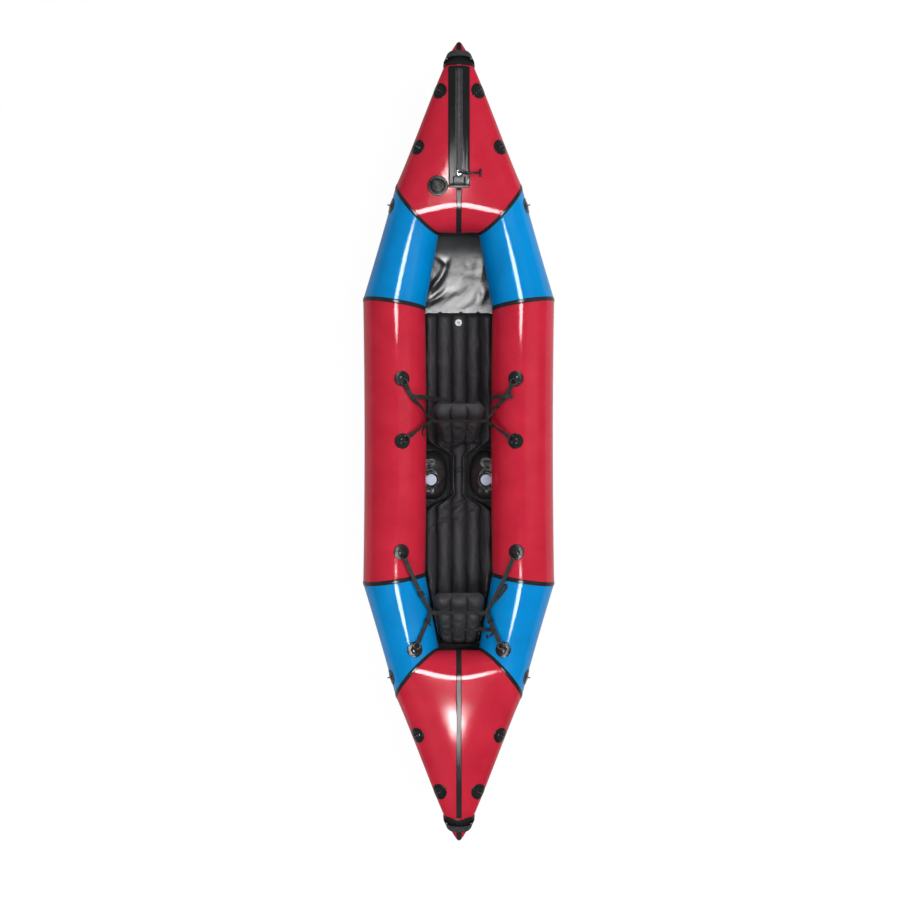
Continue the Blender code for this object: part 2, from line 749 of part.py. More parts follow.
def main_valve(skin, base_finish, cap_finish):
    """A welded flange that follows the deck, a raised rim and a screw cap inside it."""
    centre = deck_at(skin, VALVE_X, VALVE_Y)
    ways = [Vector((math.cos(t), math.sin(t), 0)) for t in turns(24)]
    inner = VALVE_RIM_RADIUS - VALVE_RIM_WALL

    def on_deck(radius, lift):
        return [deck_at(skin, centre.x + w.x * radius, centre.y + w.y * radius, lift) for w in ways]

    def level(radius, rise):
        return [centre + w * radius + Vector((0, 0, rise)) for w in ways]

    top = PATCH_LIFT + PATCH_THICKNESS
    rings = [on_deck(VALVE_FLANGE_RADIUS * 0.55, PATCH_LIFT), on_deck(VALVE_FLANGE_RADIUS, PATCH_LIFT),
             on_deck(VALVE_FLANGE_RADIUS - 0.001, top), on_deck(VALVE_RIM_RADIUS + 0.0015, top),
             level(VALVE_RIM_RADIUS, VALVE_RISE - 0.002), level(VALVE_RIM_RADIUS - 0.0015, VALVE_RISE),
             level(inner, VALVE_RISE - 0.001), level(inner, VALVE_BOTTOM),
             level(0.006, VALVE_BOTTOM), level(0.006, VALVE_BOTTOM + SPIGOT_HEIGHT)]
    poles = (deck_at(skin, centre.x, centre.y, PATCH_LIFT),
             centre + Vector((0, 0, VALVE_BOTTOM + SPIGOT_HEIGHT)))
    add("main_valve_base", loft(rings, poles), base_finish)
    seat = centre + Vector((0, 0, VALVE_BOTTOM + CLEARANCE))
    height = VALVE_RISE + VALVE_CAP_RISE - VALVE_BOTTOM
    profile = cap_profile(inner - CLEARANCE, height, 0.006)
    add("main_valve_cap", turned(profile, 28, seat), cap_finish, origin=seat, smooth=30)


def small_valve(base_name, cap_name, face, base_radius, cap_radius, height, sides, finishes):
    """A valve on a flat face of a cushion: a flange with a spigot, and the cap that turns on it."""
    spigot = cap_radius * 0.3
    profile = [(base_radius, 0, 0), (base_radius, 0.0012, 0), (base_radius - 0.002, 0.002, 0),
               (spigot, 0.002, 0), (spigot, 0.002 + SPIGOT_HEIGHT, 0)]
    foot = face + Vector((0, 0, CLEARANCE))
    add(base_name, turned(profile, 24, foot), finishes[0])
    seat = foot + Vector((0, 0, 0.002 + CLEARANCE))
    add(cap_name, turned(cap_profile(cap_radius, height, spigot), sides, seat), finishes[1],
        origin=seat, smooth=30)


def faced(shape, face, radius):
    """The shape with a flat round seat cut into its top."""
    cutter = turned([(radius, 0, 0), (radius, 0.05, 0)], 24, face)
    return combined("DIFFERENCE", shape, cutter)


def mat_half_width(y):
    """Half the mat's width: straight, drawn in at the waist, tapered aft, rounded at the corners."""
    wide = MAT_WIDTH / 2 - MAT_TAPER * max(0.0, MAT_TAPER_Y - y)
    from_waist = abs(y - MAT_WAIST_Y) - MAT_WAIST_LENGTH / 2
    wide += (MAT_WAIST_WIDTH / 2 - wide) * (1 - ease(from_waist / MAT_WAIST_RUN))
    from_end = min(MAT_FRONT_Y - y, y - MAT_REAR_Y)
    return wide - MAT_ROUNDING * (1 - crown(from_end, MAT_ROUNDING))


def mat_height(x, y):
    """The mat's thickness: five lengthwise chambers inside a rounded outline."""
    inside = min(mat_half_width(y) - abs(x), MAT_FRONT_Y - y, y - MAT_REAR_Y)
    pitch = MAT_WIDTH / MAT_CHAMBERS
    from_crest = x / pitch - round(x / pitch)
    round_top = math.sqrt(max(0.0, 1 - 4 * from_crest**2))
    chamber_top = 1 - MAT_CHANNEL * (1 - round_top)
    return MAT_EDGE + (MAT_HEIGHT - MAT_EDGE) * crown(max(0.0, inside), MAT_ROUNDING) * chamber_top


def mat_columns(y):
    """Places across the mat: fixed, so that channels run straight, and pressed in near the edge."""
    wide, full = mat_half_width(y), MAT_WIDTH / 2
    fixed = max(0.0, wide - MAT_ROUNDING)
    columns = []
    for x in spread(-full, full, MAT_COLUMNS):
        past = max(0.0, abs(x) - fixed) / (full - fixed)
        place = min(abs(x), fixed) + (wide - fixed) * past
        columns.append(math.copysign(place, x))
    return columns


def mat(finish, valve_finishes):
    front, rear = MAT_FRONT_Y, MAT_REAR_Y
    waist_front = MAT_WAIST_Y + MAT_WAIST_LENGTH / 2
    waist_rear = MAT_WAIST_Y - MAT_WAIST_LENGTH / 2
    stations = [front, front - 0.005, front - 0.018, front - 0.036] + spread(0.50, 0.13, 2)
    stations += spread(waist_front + MAT_WAIST_RUN, waist_front, 6) + spread(waist_rear, waist_rear - MAT_WAIST_RUN, 6)
    stations += [-0.45, -0.55, MAT_TAPER_Y, -0.70, -0.78, -0.86]
    stations += [rear + 0.036, rear + 0.018, rear + 0.005, rear]
    rings = []
    for y in stations:
        base = floor_top(y) + CLEARANCE
        columns = mat_columns(y)
        ring = [Vector((x, y, base + mat_height(x, y))) for x in columns]
        rings.append(ring + [Vector((columns[-1], y, base)), Vector((columns[0], y, base))])
    face = Vector((0, MAT_VALVE_Y, floor_top(MAT_VALVE_Y) + CLEARANCE + MAT_HEIGHT - MAT_VALVE_SINK))
    add("mat", faced(loft(rings), face, MAT_VALVE_RADIUS + 2 * CLEARANCE), finish)
    small_valve("mat_valve_base", "mat_valve_cap", face, MAT_VALVE_RADIUS, 0.0125, 0.006, 24, valve_finishes)


def under_tube(x):
    """The height of the side tube's underside amidships, above x."""
    centre, across, up = side_ring(0)
    short = max(0.0, TUBE_RADIUS**2 - (x - centre.x) ** 2)
    return centre.z - math.sqrt(short) if x > centre.x - TUBE_RADIUS else BEAM


def brace_cushion(board, side, finish, valve_finishes):
    """A pillow on the floor, pressed under the side tube."""
    base = FLOOR_THICKNESS + CLEARANCE
    rings = []
    for place in (-0.995, -0.93, -0.8, -0.6, -0.35, 0, 0.35, 0.6, 0.8, 0.93, 0.995):
        y = BRACE_VALVE_Y + 0.021 + BRACE_HALF_LENGTH * place
        wide = (BRACE_OUTER_X - BRACE_INNER_X) / 2 * (1 - abs(place) ** 2.5) ** 0.4
        endwise = (1 - abs(place) ** 3.5) ** 0.5
        ring = []
        for share in (-1, -0.96, -0.85, -0.65, -0.35, 0, 0.3, 0.5, 0.65, 0.8, 0.92, 1):
            x = (BRACE_INNER_X + BRACE_OUTER_X) / 2 + wide * share
            swell = (1 - abs(share) ** 3.5) ** 0.5
            top = MAT_EDGE + (BRACE_HEIGHT - MAT_EDGE) * swell * endwise
            ring.append(Vector((x, y, base + min(top, under_tube(x) - base - BRACE_TUBE_GAP))))
        ring += [Vector((ring[-1].x, y, base)), Vector((ring[0].x, y, base))]
        rings.append(mirrored(ring, side))
    valve_x = (SEAT_ROOM - BRACE_VALVE_INSET) * side
    face = Vector((valve_x, BRACE_VALVE_Y, BRACE_VALVE_Z))
    shape = faced(loft(rings), face, BRACE_VALVE_RADIUS + 2 * CLEARANCE)
    add(f"{board}_brace_cushion", shape, finish)
    small_valve(f"{board}_brace_valve", f"{board}_brace_cap", face, BRACE_VALVE_RADIUS,
                BRACE_CAP_RADIUS, 0.010, 28, valve_finishes)


def back_frame(y, z, lean):
    """The hinge, the way up the pad and the way out of its back."""
    angle = math.radians(lean)
    return (Vector((0, y, z)), Vector((0, math.sin(angle), math.cos(angle))),
            Vector((0, -math.cos(angle), math.sin(angle))))


def back_half_width(height):
    wide = (BACK_BASE_WIDTH + (BACK_TOP_WIDTH - BACK_BASE_WIDTH) * height / BACK_HEIGHT) / 2
    from_end = min(height, BACK_HEIGHT - height)
    return wide - BACK_ROUNDING * (1 - crown(from_end, BACK_ROUNDING))


def back_swell(share, height):
    """Half the pad's thickness: three chambers, rounded ends and a crease under the belt."""
    inside = min(back_half_width(height) * (1 - abs(share)), height, BACK_HEIGHT - height)
    across = (share + 1) / 2 * BACK_CHAMBERS % 1 - 0.5
    chamber_top = 1 - BACK_CHANNEL * (1 - math.sqrt(max(0.0, 1 - 4 * across**2)))
    crease = 1 - BACK_CREASE * (1 - ease((abs(height - BELT_HEIGHT) - BACK_CREASE_HALF_WIDTH) / 0.03))
    ends = 0.12 + 0.88 * crown(inside, BACK_THICKNESS / 2)
    return BACK_THICKNESS / 2 * ends * chamber_top * crease


def backrest(name, frame, finish):
    hinge, up, out = frame
    shares = (-0.93, -0.80, -0.67, -0.52, -0.33, -0.17, 0, 0.17, 0.33, 0.52, 0.67, 0.80, 0.93)
    rings = []
    for height in (0, 0.008, 0.025, 0.06, 0.11, 0.155, 0.187, 0.213, 0.24, 0.265, 0.282, BACK_HEIGHT):
        wide = back_half_width(height)
        middle = hinge + up * height
        back = [middle + Vector((wide * s, 0, 0)) + out * back_swell(s, height) for s in shares]
        front = [middle + Vector((wide * s, 0, 0)) - out * back_swell(s, height) for s in reversed(shares)]
        rings.append([middle - Vector((wide, 0, 0))] + back + [middle + Vector((wide, 0, 0))] + front)
    add(name, loft(rings), finish, origin=hinge)


def spot(panel, share, turn, side=1, end=1):
    """A place on the hull, and its directions outward, lengthwise and round the tube."""
    point = PANELS[panel]
    here, step = point(share, turn), 0.01
    along = (point(share + step, turn) - point(share - step, turn)).normalized()
    outward = along.cross(point(share, turn + step) - point(share, turn - step)).normalized()
    if outward.dot(here - point(share, turn + math.pi)) < 0:
        outward = -outward
    return mirrored([here, outward, along, outward.cross(along)], side, end)


def patch(skin, place, radius, low):
    """A round patch laid on the hull."""
    here, outward, along, around = place

    def at(reach, turn, lift):
        offset = along * math.cos(turn) + around * math.sin(turn)
        return laid(skin, here + offset * reach + outward * 0.06, -outward, lift)

    top = low + PATCH_THICKNESS
    levels = ((0.55, low), (1, low), (0.98, top), (0.55, top))
    rings = [[at(radius * share, turn, lift) for turn in turns(PATCH_SIDES)] for share, lift in levels]
    return loft(rings, (at(0, 0, low), at(0, 0, top)))


def tie_down(name, skin, place, low, finish):
    """A patch with a cord loop standing on it, across the line of the tube."""
    here, outward, along, around = place
    foot = here + outward * (low + PATCH_THICKNESS - 0.001)
    path = [foot + (around * math.cos(t) + outward * math.sin(t)) * TIE_DOWN_LOOP
            for t in spread(-0.06, math.pi + 0.06, 5)]
    loop = swept(path, [along] * len(path), round_section(TIE_DOWN_WIRE, 5))
    add(name, combined("UNION", patch(skin, place, TIE_DOWN_RADIUS, low), loop), finish)


def tie_downs(skin, finish):
    for side, board in ((1, "starboard"), (-1, "port")):
        for end, where in ((1, "bow"), (-1, "stern")):
            for number, (panel, share, turn, low) in enumerate(TIE_DOWN_PLACES, 1):
                place = spot(panel, share, math.radians(turn), side, end)
                tie_down(f"{board}_{where}_tie_down_{number}", skin, place, low, finish)


def anchor_spot(y, side=1):
    return spot("side", y / SIDE_SEAM_Y, math.radians(ANCHOR_TURN), side)


def rear_stay_spot(side=1):
    return spot("shoulder", REAR_STAY_ANCHOR_SHARE, math.radians(REAR_STAY_ANCHOR_TURN), side, -1)


def lead(place, target):
    """The direction over the skin in which a strap leaves an anchor for a target."""
    here, outward = place[:2]
    way = Vector((target.x - here.x, target.y - here.y, 0))
    return (way - outward * way.dot(outward)).normalized()


def ring_middle(place, target):
    """The middle of an anchor's ring, and the tilted direction in which it is pulled."""
    here, outward = place[:2]
    tilt = math.radians(ANCHOR_RING_TILT)
    pull = lead(place, target) * math.cos(tilt) + outward * math.sin(tilt)
    return here + outward * (ANCHOR_DOME_HEIGHT - 0.0005) + pull * ANCHOR_DOME_RADIUS, pull


def strap_start(place, target):
    """Where a strap begins, just past its anchor's ring."""
    middle, pull = ring_middle(place, target)
    return middle + pull * (ANCHOR_RING + ANCHOR_WIRE + 3 * CLEARANCE)


def seat_anchor(name, skin, place, target, finish):
    """A patch with a domed keeper and the ring that a strap is tied to."""
    here, outward, along, around = place
    tall = PATCH_LIFT + PATCH_THICKNESS
    rings = []
    for reach, rise in ((1, tall - 0.0025), (0.95, tall + 0.002), (0.55, tall + ANCHOR_DOME_HEIGHT)):
        rings.append([here + (along * math.cos(t) + around * math.sin(t)) * ANCHOR_DOME_RADIUS * reach
                      + outward * rise for t in turns(PATCH_SIDES)])
    middle, pull = ring_middle(place, target)
    flat = pull.cross(outward).normalized()
    path = [middle + (pull * math.cos(t) + flat * math.sin(t)) * ANCHOR_RING for t in turns(10)]
    ring = swept(path, [pull.cross(flat)] * 10, round_section(ANCHOR_WIRE, 5), closed=True)
    shape = combined("UNION", patch(skin, place, ANCHOR_RADIUS, PATCH_LIFT), loft(rings), ring)
    add(name, shape, finish)


def ribbon(path, across):
    """Webbing along a path, its twisting sides cut into triangles."""
    shape = swept(path, across, flat_section(STRAP_WIDTH, STRAP_THICKNESS))
    bmesh.ops.triangulate(shape, faces=shape.faces)
    return shape


def strap(place, points, width_way, steps):
    """Webbing from an anchor along points: lying flat at the anchor, turned to width_way at the end."""
    outward = place[1]
    start = strap_start(place, points[0])
    path = curve_through([start] + points, steps)
    flat = outward.cross(path[1] - path[0]).normalized()
    if flat.dot(width_way) < 0:
        flat = -flat
    across = [flat.lerp(width_way.normalized(), ease(2.4 * i / steps)) for i in range(steps + 1)]
    return path, across


def belt(name, place, points, up, finish):
    """A belt from tube to tube across the back of a pad."""
    half = BELT_STEPS // 2
    path, across = strap(place, points, up, half)
    path += mirrored(reversed(path[:-1]), -1)
    across += mirrored(reversed(across[:-1]), -1)
    add(name, ribbon(path, across), finish)
    return path, across


def buckle(name, belt_line, step, finish):
    """A strap adjuster: a flat frame that the belt runs through."""
    path, across = belt_line
    along = (path[step + 1] - path[step - 1]).normalized()
    wide = (across[step] - along * across[step].dot(along)).normalized()
    thick = along.cross(wide)
    hole = flat_section(STRAP_WIDTH + BUCKLE_ROOM / 2, STRAP_THICKNESS + BUCKLE_ROOM)
    body = flat_section(BUCKLE_WIDTH, BUCKLE_THICKNESS)
    rings = []
    for section, shift in ((hole, -1), (body, -1), (body, 1), (hole, 1)):
        place = path[step] + along * shift * BUCKLE_LENGTH / 2
        rings.append([place + wide * a + thick * b for a, b in section])
    add(name, loft(rings, closed=True), finish, smooth=30)


def belt_bends(frame):
    """Places on the starboard half of a belt behind a pad: round its edge, then flat in its crease."""
    hinge, up, out = frame
    stand = BACK_THICKNESS / 2 * (1 - BACK_CREASE) + STRAP_THICKNESS / 2 + 2 * CLEARANCE
    level = hinge + up * BELT_HEIGHT
    edge = level + out * (stand - BELT_EDGE_DROP) + Vector((BELT_HALF_SPAN, 0, 0))
    return [edge] + [level + out * stand + Vector((x, 0, 0)) for x in (BELT_HALF_FLAT, BELT_HALF_FLAT / 2, 0)]


def over_tube(y, turn, lift):
    """A place that a strap passes, off the side tube's skin."""
    here, outward = spot("side", y / SIDE_SEAM_Y, math.radians(turn))[:2]
    return here + outward * lift


def stay_end(frame):
    """Where the starboard stay meets the back of the belt, at the pad's edge."""
    return belt_bends(frame)[0] + frame[2] * (STRAP_THICKNESS + 6 * CLEARANCE)


def seats(skin, pad_finish, strap_finish, anchor_finish, buckle_finish):
    front = back_frame(FRONT_BACK_Y, FRONT_BACK_Z, FRONT_BACK_LEAN)
    rear = back_frame(REAR_BACK_Y, REAR_BACK_Z, REAR_BACK_LEAN)
    backrest("front_backrest", front, pad_finish)
    backrest("rear_backrest", rear, pad_finish)
    front_points = [over_tube(*place) for place in FRONT_BELT_LEAD] + belt_bends(front)
    rear_points = [over_tube(*place) for place in REAR_BELT_LEAD] + belt_bends(rear)
    front_belt = belt("front_belt", anchor_spot(FRONT_BELT_ANCHOR_Y), front_points, front[1], strap_finish)
    rear_belt = belt("rear_belt", anchor_spot(REAR_BELT_ANCHOR_Y), rear_points, rear[1], strap_finish)
    buckle("front_buckle", front_belt, 4, buckle_finish)
    buckle("rear_buckle", rear_belt, BELT_STEPS - 3, buckle_finish)
    front_end, rear_end = stay_end(front), stay_end(rear)
    for side, board in ((1, "starboard"), (-1, "port")):
        ends = ((anchor_spot(FRONT_BELT_ANCHOR_Y), front_points[0]), (anchor_spot(FRONT_STAY_ANCHOR_Y), front_end),
                (anchor_spot(REAR_BELT_ANCHOR_Y), rear_points[0]), (rear_stay_spot(), rear_end))
        for number, (place, target) in enumerate(ends, 1):
            target = mirrored([target], side)[0]
            seat_anchor(f"{board}_seat_anchor_{number}", skin, mirrored(place, side), target, anchor_finish)
        for where, (place, target), frame in (("front", ends[1], front), ("rear", ends[3], rear)):
            bend = strap_start(place, target).lerp(target, 0.5)
            path, across = strap(place, [bend, target], (target - bend).cross(frame[2]), STAY_STEPS)
            add(f"{board}_{where}_stay", ribbon(mirrored(path, side), mirrored(across, side)), strap_finish)


def wrapped(skin, y, turn, lift):
    """A place on the nose at y, a turn round it from the crest, starboard first."""
    rise = math.sqrt(1 - ((y - KNUCKLE_Y) / (LENGTH / 2 - KNUCKLE_Y)) ** 2)
    outward = Vector((math.sin(turn), 0, math.cos(turn)))
    middle = Vector((0, y, deck_line(y) - END_RADIUS * rise))
    return laid(skin, middle + outward * 0.3, -outward, lift)


def grab_handle(name, skin, end, finish):
    """A patch wrapped over the nose, and a webbing loop across it from side to side."""
    reach = math.radians(HANDLE_PATCH_TURN)
    stations = spread(HANDLE_PATCH_START_Y, HANDLE_PATCH_END_Y, 3)
    top = NOSE_LIFT + PATCH_THICKNESS
    under, over = ([mirrored([wrapped(skin, y, t, lift) for t in spread(-reach, reach, 16)], 1, end)
                    for y in stations] for lift in (NOSE_LIFT, top))
    foot = math.radians(HANDLE_FOOT_TURN)
    path, across = [], []
    for share in (-1, -0.92, -0.8, -0.6, -0.4, -0.2, 0, 0.2, 0.4, 0.6, 0.8, 0.92, 1):
        y = HANDLE_TOP_Y + (HANDLE_FOOT_Y - HANDLE_TOP_Y) * abs(share)
        lift = top + HANDLE_THICKNESS / 2 - 0.0008 + HANDLE_STANDOFF * ease(1.25 * (1 - abs(share)))
        path.append(wrapped(skin, y, foot * share, lift))
        across.append(wrapped(skin, y + 0.01, foot * share, 0) - wrapped(skin, y - 0.01, foot * share, 0))
    section = flat_section(HANDLE_WIDTH, HANDLE_THICKNESS)
    loop = swept(mirrored(path, 1, end), mirrored(across, 1, end), section)
    add(name, combined("UNION", slab(under, over), loop), finish)


def build():
    red = material("hull_red", (0.60, 0.03, 0.06), 0.28)
    blue = material("hull_blue", (0.0, 0.24, 0.58), 0.28)
    floor_grey = material("floor_fabric", (0.09, 0.09, 0.10), 0.45)
    black = material("black_patch", (0.022, 0.022, 0.025), 0.55)
    pad = material("pad_fabric", (0.06, 0.06, 0.065), 0.75)
    webbing = material("webbing", (0.035, 0.035, 0.038), 0.85)
    zip_rubber = material("zip_rubber", (0.10, 0.10, 0.11), 0.5)
    metal = material("bright_metal", (0.72, 0.72, 0.73), 0.3, 1.0)
    black_plastic = material("black_plastic", (0.03, 0.03, 0.033), 0.4)
    white_plastic = material("white_plastic", (0.80, 0.80, 0.78), 0.4)
    skin = hull_skin(hull(red, blue))
    floor_sheet(floor_grey)
    centre_tape("bow_centre_tape", skin, ZIP_START_Y - 0.001, 1, black)
    centre_tape("stern_centre_tape", skin, HANDLE_PATCH_START_Y - 0.002, -1, black)
    zip_backing(skin, black)
    zip_chain(zip_rubber)
    zip_dock(zip_rubber)
    zip_pull(zip_slider(metal), black_plastic)
    main_valve(skin, black_plastic, black_plastic)
    mat(pad, (black_plastic, black_plastic))
    for side, board in ((1, "starboard"), (-1, "port")):
        brace_cushion(board, side, pad, (black_plastic, white_plastic))
    seats(skin, pad, webbing, black, black_plastic)
    grab_handle("bow_grab_handle", skin, 1, black)
    grab_handle("stern_grab_handle", skin, -1, black)
    tie_downs(skin, black)


clear_scene()
build()
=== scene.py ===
from math import acos, atan2, copysign, cos, exp, hypot, pi, radians, sin, sqrt
import bmesh
import bpy
from bmesh import ops
from mathutils import Matrix, Vector, noise
from mathutils.bvhtree import BVHTree


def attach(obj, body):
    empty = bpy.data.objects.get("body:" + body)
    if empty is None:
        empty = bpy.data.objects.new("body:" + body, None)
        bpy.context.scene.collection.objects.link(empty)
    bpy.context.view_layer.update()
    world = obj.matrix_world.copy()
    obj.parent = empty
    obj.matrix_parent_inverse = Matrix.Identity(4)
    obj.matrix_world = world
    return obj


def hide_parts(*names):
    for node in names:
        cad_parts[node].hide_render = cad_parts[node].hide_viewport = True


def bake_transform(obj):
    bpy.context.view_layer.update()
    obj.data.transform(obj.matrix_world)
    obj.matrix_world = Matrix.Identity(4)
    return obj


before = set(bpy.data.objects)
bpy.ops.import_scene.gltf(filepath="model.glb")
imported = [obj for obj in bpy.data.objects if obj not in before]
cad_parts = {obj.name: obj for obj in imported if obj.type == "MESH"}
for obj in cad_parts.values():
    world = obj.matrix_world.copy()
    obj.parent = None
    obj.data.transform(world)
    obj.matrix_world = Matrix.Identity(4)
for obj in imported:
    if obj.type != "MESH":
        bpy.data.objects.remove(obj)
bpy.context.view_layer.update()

# The studio. A camera hangs straight above the boat and a white floor lies under it. Of the soft boxes
# overhead, some only fill and some only shine, and give the long streaks on the tubes.
SOFT_BOXES = (("starboard_box", (2.9, 0.3, 4.2), (0.2, 0, 0.1), (1.8, 4.5), 122, True, 180),
              ("starboard_sheen", (2.9, 0.3, 4.2), (0.2, 0, 0.1), (1.8, 4.5), 70, False, 180),
              ("port_box", (-3.8, -0.2, 3.4), (-0.2, 0, 0.1), (1.6, 4.5), 4, True, 180),
              ("stern_box", (-1.2, -1.9, 2.8), (0, -1.3, 0.3), (1.2, 1.2), 24, True, 180),
              ("bow_box", (1.6, 1.9, 2.8), (0, 1.3, 0.3), (1.2, 1.2), 22, True, 180),
              ("bow_strip", (-0.02, 0.94, 1.9), (-0.02, 0.94, 0), (0.40, 0.60), 6.6, False, 100),
              ("stern_strip", (-0.06, -1.00, 1.9), (-0.06, -1.00, 0), (0.40, 0.52), 6.0, False, 100),
              ("bow_spot", (-0.05, 1.46, 1.9), (-0.05, 1.46, 0), (0.13, 0.14), 0.8, False, 100),
              ("stern_spot", (-0.02, -1.53, 1.9), (-0.02, -1.53, 0), (0.17, 0.15), 1.6, False, 100))
SKY_FILL, SKY_SHINE, SKY_SEEN = 0.39, 0.12, 0.88
scene = bpy.context.scene
scene.view_settings.view_transform = "Standard"


def in_scene(name, data):
    made = bpy.data.objects.new(name, data)
    scene.collection.objects.link(made)
    return made


def wire(tree, made, inputs):
    """Joins or writes what is given for a shader node's sockets."""
    for name, value in inputs.items():
        if isinstance(value, bpy.types.NodeSocket):
            tree.links.new(value, made.inputs[name])
        else:
            made.inputs[name].default_value = value


def node(tree, kind, inputs, out=0, **settings):
    """Adds a shader node, and gives one of its outputs."""
    made = tree.nodes.new("ShaderNode" + kind)
    for name, value in settings.items():
        setattr(made, name, value)
    wire(tree, made, inputs)
    return made.outputs[out] if made.outputs else None


def calc(tree, operation, *values, **settings):
    return node(tree, "Math", dict(enumerate(values)), operation=operation, **settings)


def bare_tree(owner):
    """An emptied node tree, and what a ray's path tells in it."""
    owner.use_nodes = True
    owner.node_tree.nodes.clear()
    return owner.node_tree, owner.node_tree.nodes.new("ShaderNodeLightPath").outputs


scene.camera = in_scene("camera", bpy.data.cameras.new("camera"))
scene.camera.location = (-0.0412, -0.0403, 5.65)
scene.camera.data.lens, scene.camera.data.clip_end = 46.41, 60
for name, place, target, size, power, fills, spread in SOFT_BOXES:
    lamp = bpy.data.lights.new(name, "AREA")
    lamp.shape = "RECTANGLE" if fills else "ELLIPSE"
    lamp.size, lamp.size_y = size
    lamp.energy, lamp.spread = power, radians(spread)
    box = in_scene(name, lamp)
    box.location = place
    box.rotation_euler = (Vector(target) - Vector(place)).to_track_quat("-Z", "Y").to_euler()
    box.visible_camera, box.visible_diffuse, box.visible_glossy = False, fills, not fills

scene.world = bpy.data.worlds.new("studio")
sky, seen = bare_tree(scene.world)
glow = calc(sky, "MULTIPLY_ADD", seen["Is Diffuse Ray"], SKY_FILL, SKY_SHINE)
glow = calc(sky, "MULTIPLY_ADD", seen["Is Camera Ray"], SKY_SEEN, glow)
node(sky, "OutputWorld", {0: node(sky, "Background", {"Color": (1, 1, 1, 1), "Strength": glow})})

white = bpy.data.materials.new("studio_floor")
paint, seen = bare_tree(white)
share = calc(paint, "MULTIPLY", seen["Is Camera Ray"], 0.90)
matte = node(paint, "BsdfDiffuse", {"Color": (0.6, 0.6, 0.6, 1)})
plain = node(paint, "Emission", {"Color": (1, 1, 1, 1), "Strength": 1.06})
node(paint, "OutputMaterial", {0: node(paint, "MixShader", {0: share, 1: matte, 2: plain})})
ground = bmesh.new()
ops.create_grid(ground, x_segments=1, y_segments=1, size=12, matrix=Matrix.Translation((0, 0, -0.0008)))
floor = in_scene("studio_floor", bpy.data.meshes.new("studio_floor"))
ground.to_mesh(floor.data)
ground.free()
floor.data.materials.append(white)

# The air tube. Nylon cloth coated until it shines, red for the sides and the pointed ends and
# blue for the shoulders, cut flat, welded seam to seam and blown up hard, so that it puckers
# a little where a panel turns into the next.
BEAM, WAIST_DRAW_IN = 0.905, 0.012
TUBE_RADIUS, END_RADIUS, TUBE_BASE = 0.147, 0.124, 0.0033
SIDE_SEAM_Y, SIDE_SEAM_SKEW = 0.649, 0.022
HALF_LENGTH, HALF_COCKPIT = 1.829, 0.979
END_SEAM = Vector((0.290, 1.201, 0)), Vector((0.096, HALF_COCKPIT, 0))
END_SEAM_LEAN = 0.038
DECK_SLOPE, NOSE_DROP, NOSE_BLUNTNESS = 0.04, 0.020, 0.45
ROCKER_START, ROCKER_RISE = 0.60, 0.0734
HULL_SIDES, HULL_WALL, HULL_SINK = 144, 0.001, 0.0002
PUCKER_DEPTH, PUCKER_REACH = 0.00042, 0.05
HULL_PITCH, HULL_RELIEF = 0.0007, 0.00002
BOARDS = (1, "starboard"), (-1, "port")
ENDS = (1, "bow"), (-1, "stern")
TURN = 2 * pi


def at(x, y, z):
    return Vector((x, y, z))


UP, DOWN, FORWARD, OUTBOARD = at(0, 0, 1), at(0, 0, -1), at(0, 1, 0), at(1, 0, 0)
seam_half, seam_middle = (END_SEAM[0] - END_SEAM[1]) / 2, (END_SEAM[0] + END_SEAM[1]) / 2
seam_lean = at(seam_half.y, -seam_half.x, 0).normalized() * END_SEAM_LEAN
rocker_reach = seam_middle.y - seam_lean.y - ROCKER_START


def rocker(y):
    """How far the boat's bottom has risen off the ground at y."""
    return ROCKER_RISE * (max(0.0, abs(y) - ROCKER_START) / rocker_reach) ** 2


def seated(centre, across, up):
    """A section of the tube, raised until its lowest point lies on the floor sheet."""
    return at(centre.x, centre.y, TUBE_BASE + rocker(centre.y - up.y) + up.z), across, up


def side_section(share):
    """The side tube's section, from -1 at the stern seam to 1 at the bow seam."""
    half_beam = (BEAM - WAIST_DRAW_IN * (1 - share**2)) / 2
    return seated(at(half_beam - TUBE_RADIUS, share * SIDE_SEAM_Y, 0),
                  at(TUBE_RADIUS, SIDE_SEAM_SKEW * share, 0), at(0, 0, TUBE_RADIUS))


end_section = seated(seam_middle, seam_half, seam_lean + at(0, 0, END_RADIUS))
knuckle_y, deck_z = HALF_COCKPIT + END_RADIUS, end_section[0].z + END_RADIUS
nose_length = HALF_LENGTH - knuckle_y


def shoulder_section(share):
    """The shoulder's section, from 0 at the side seam to 1 at the end seam."""
    return seated(*(a.lerp(b, share) for a, b in zip(side_section(1), end_section)))


def on_section(section, turn):
    """A point of a section: 0 is outboard, a quarter turn the crest, a half turn inboard."""
    centre, across, up = section
    return centre + across * cos(turn) + up * sin(turn)


def deck_line(y):
    return deck_z + DECK_SLOPE * (y - knuckle_y)


def nose_profile(turn):
    """The pointed end's outline on the centre plane: round at the cockpit, drawn out to the tip."""
    along, rise = cos(turn), sin(turn)
    if along <= 0:
        return at(0, knuckle_y + END_RADIUS * along, deck_z - END_RADIUS * (1 - rise))
    y = knuckle_y + nose_length * along
    return at(0, y, deck_line(y) - NOSE_DROP * (1 - abs(rise)) ** 3 - 2 * END_RADIUS * max(0.0, -rise))


def nose_point(share, turn):
    """The pointed end's skin, from 0 at its seam to 1 on the centre plane."""
    start = on_section(end_section, turn)
    chord = nose_profile(turn) - start
    blunt = NOSE_BLUNTNESS + (1 - NOSE_BLUNTNESS) * sin(turn) ** 2
    bulge = share**2 - share**3
    inward, onward = share + (1 - blunt) * bulge, share + bulge
    return start + at(chord.x * inward, chord.y * onward, chord.z * onward)


SKINS = {"side": lambda share, turn: on_section(side_section(share), turn),
         "shoulder": lambda share, turn: on_section(shoulder_section(share), turn), "nose": nose_point}


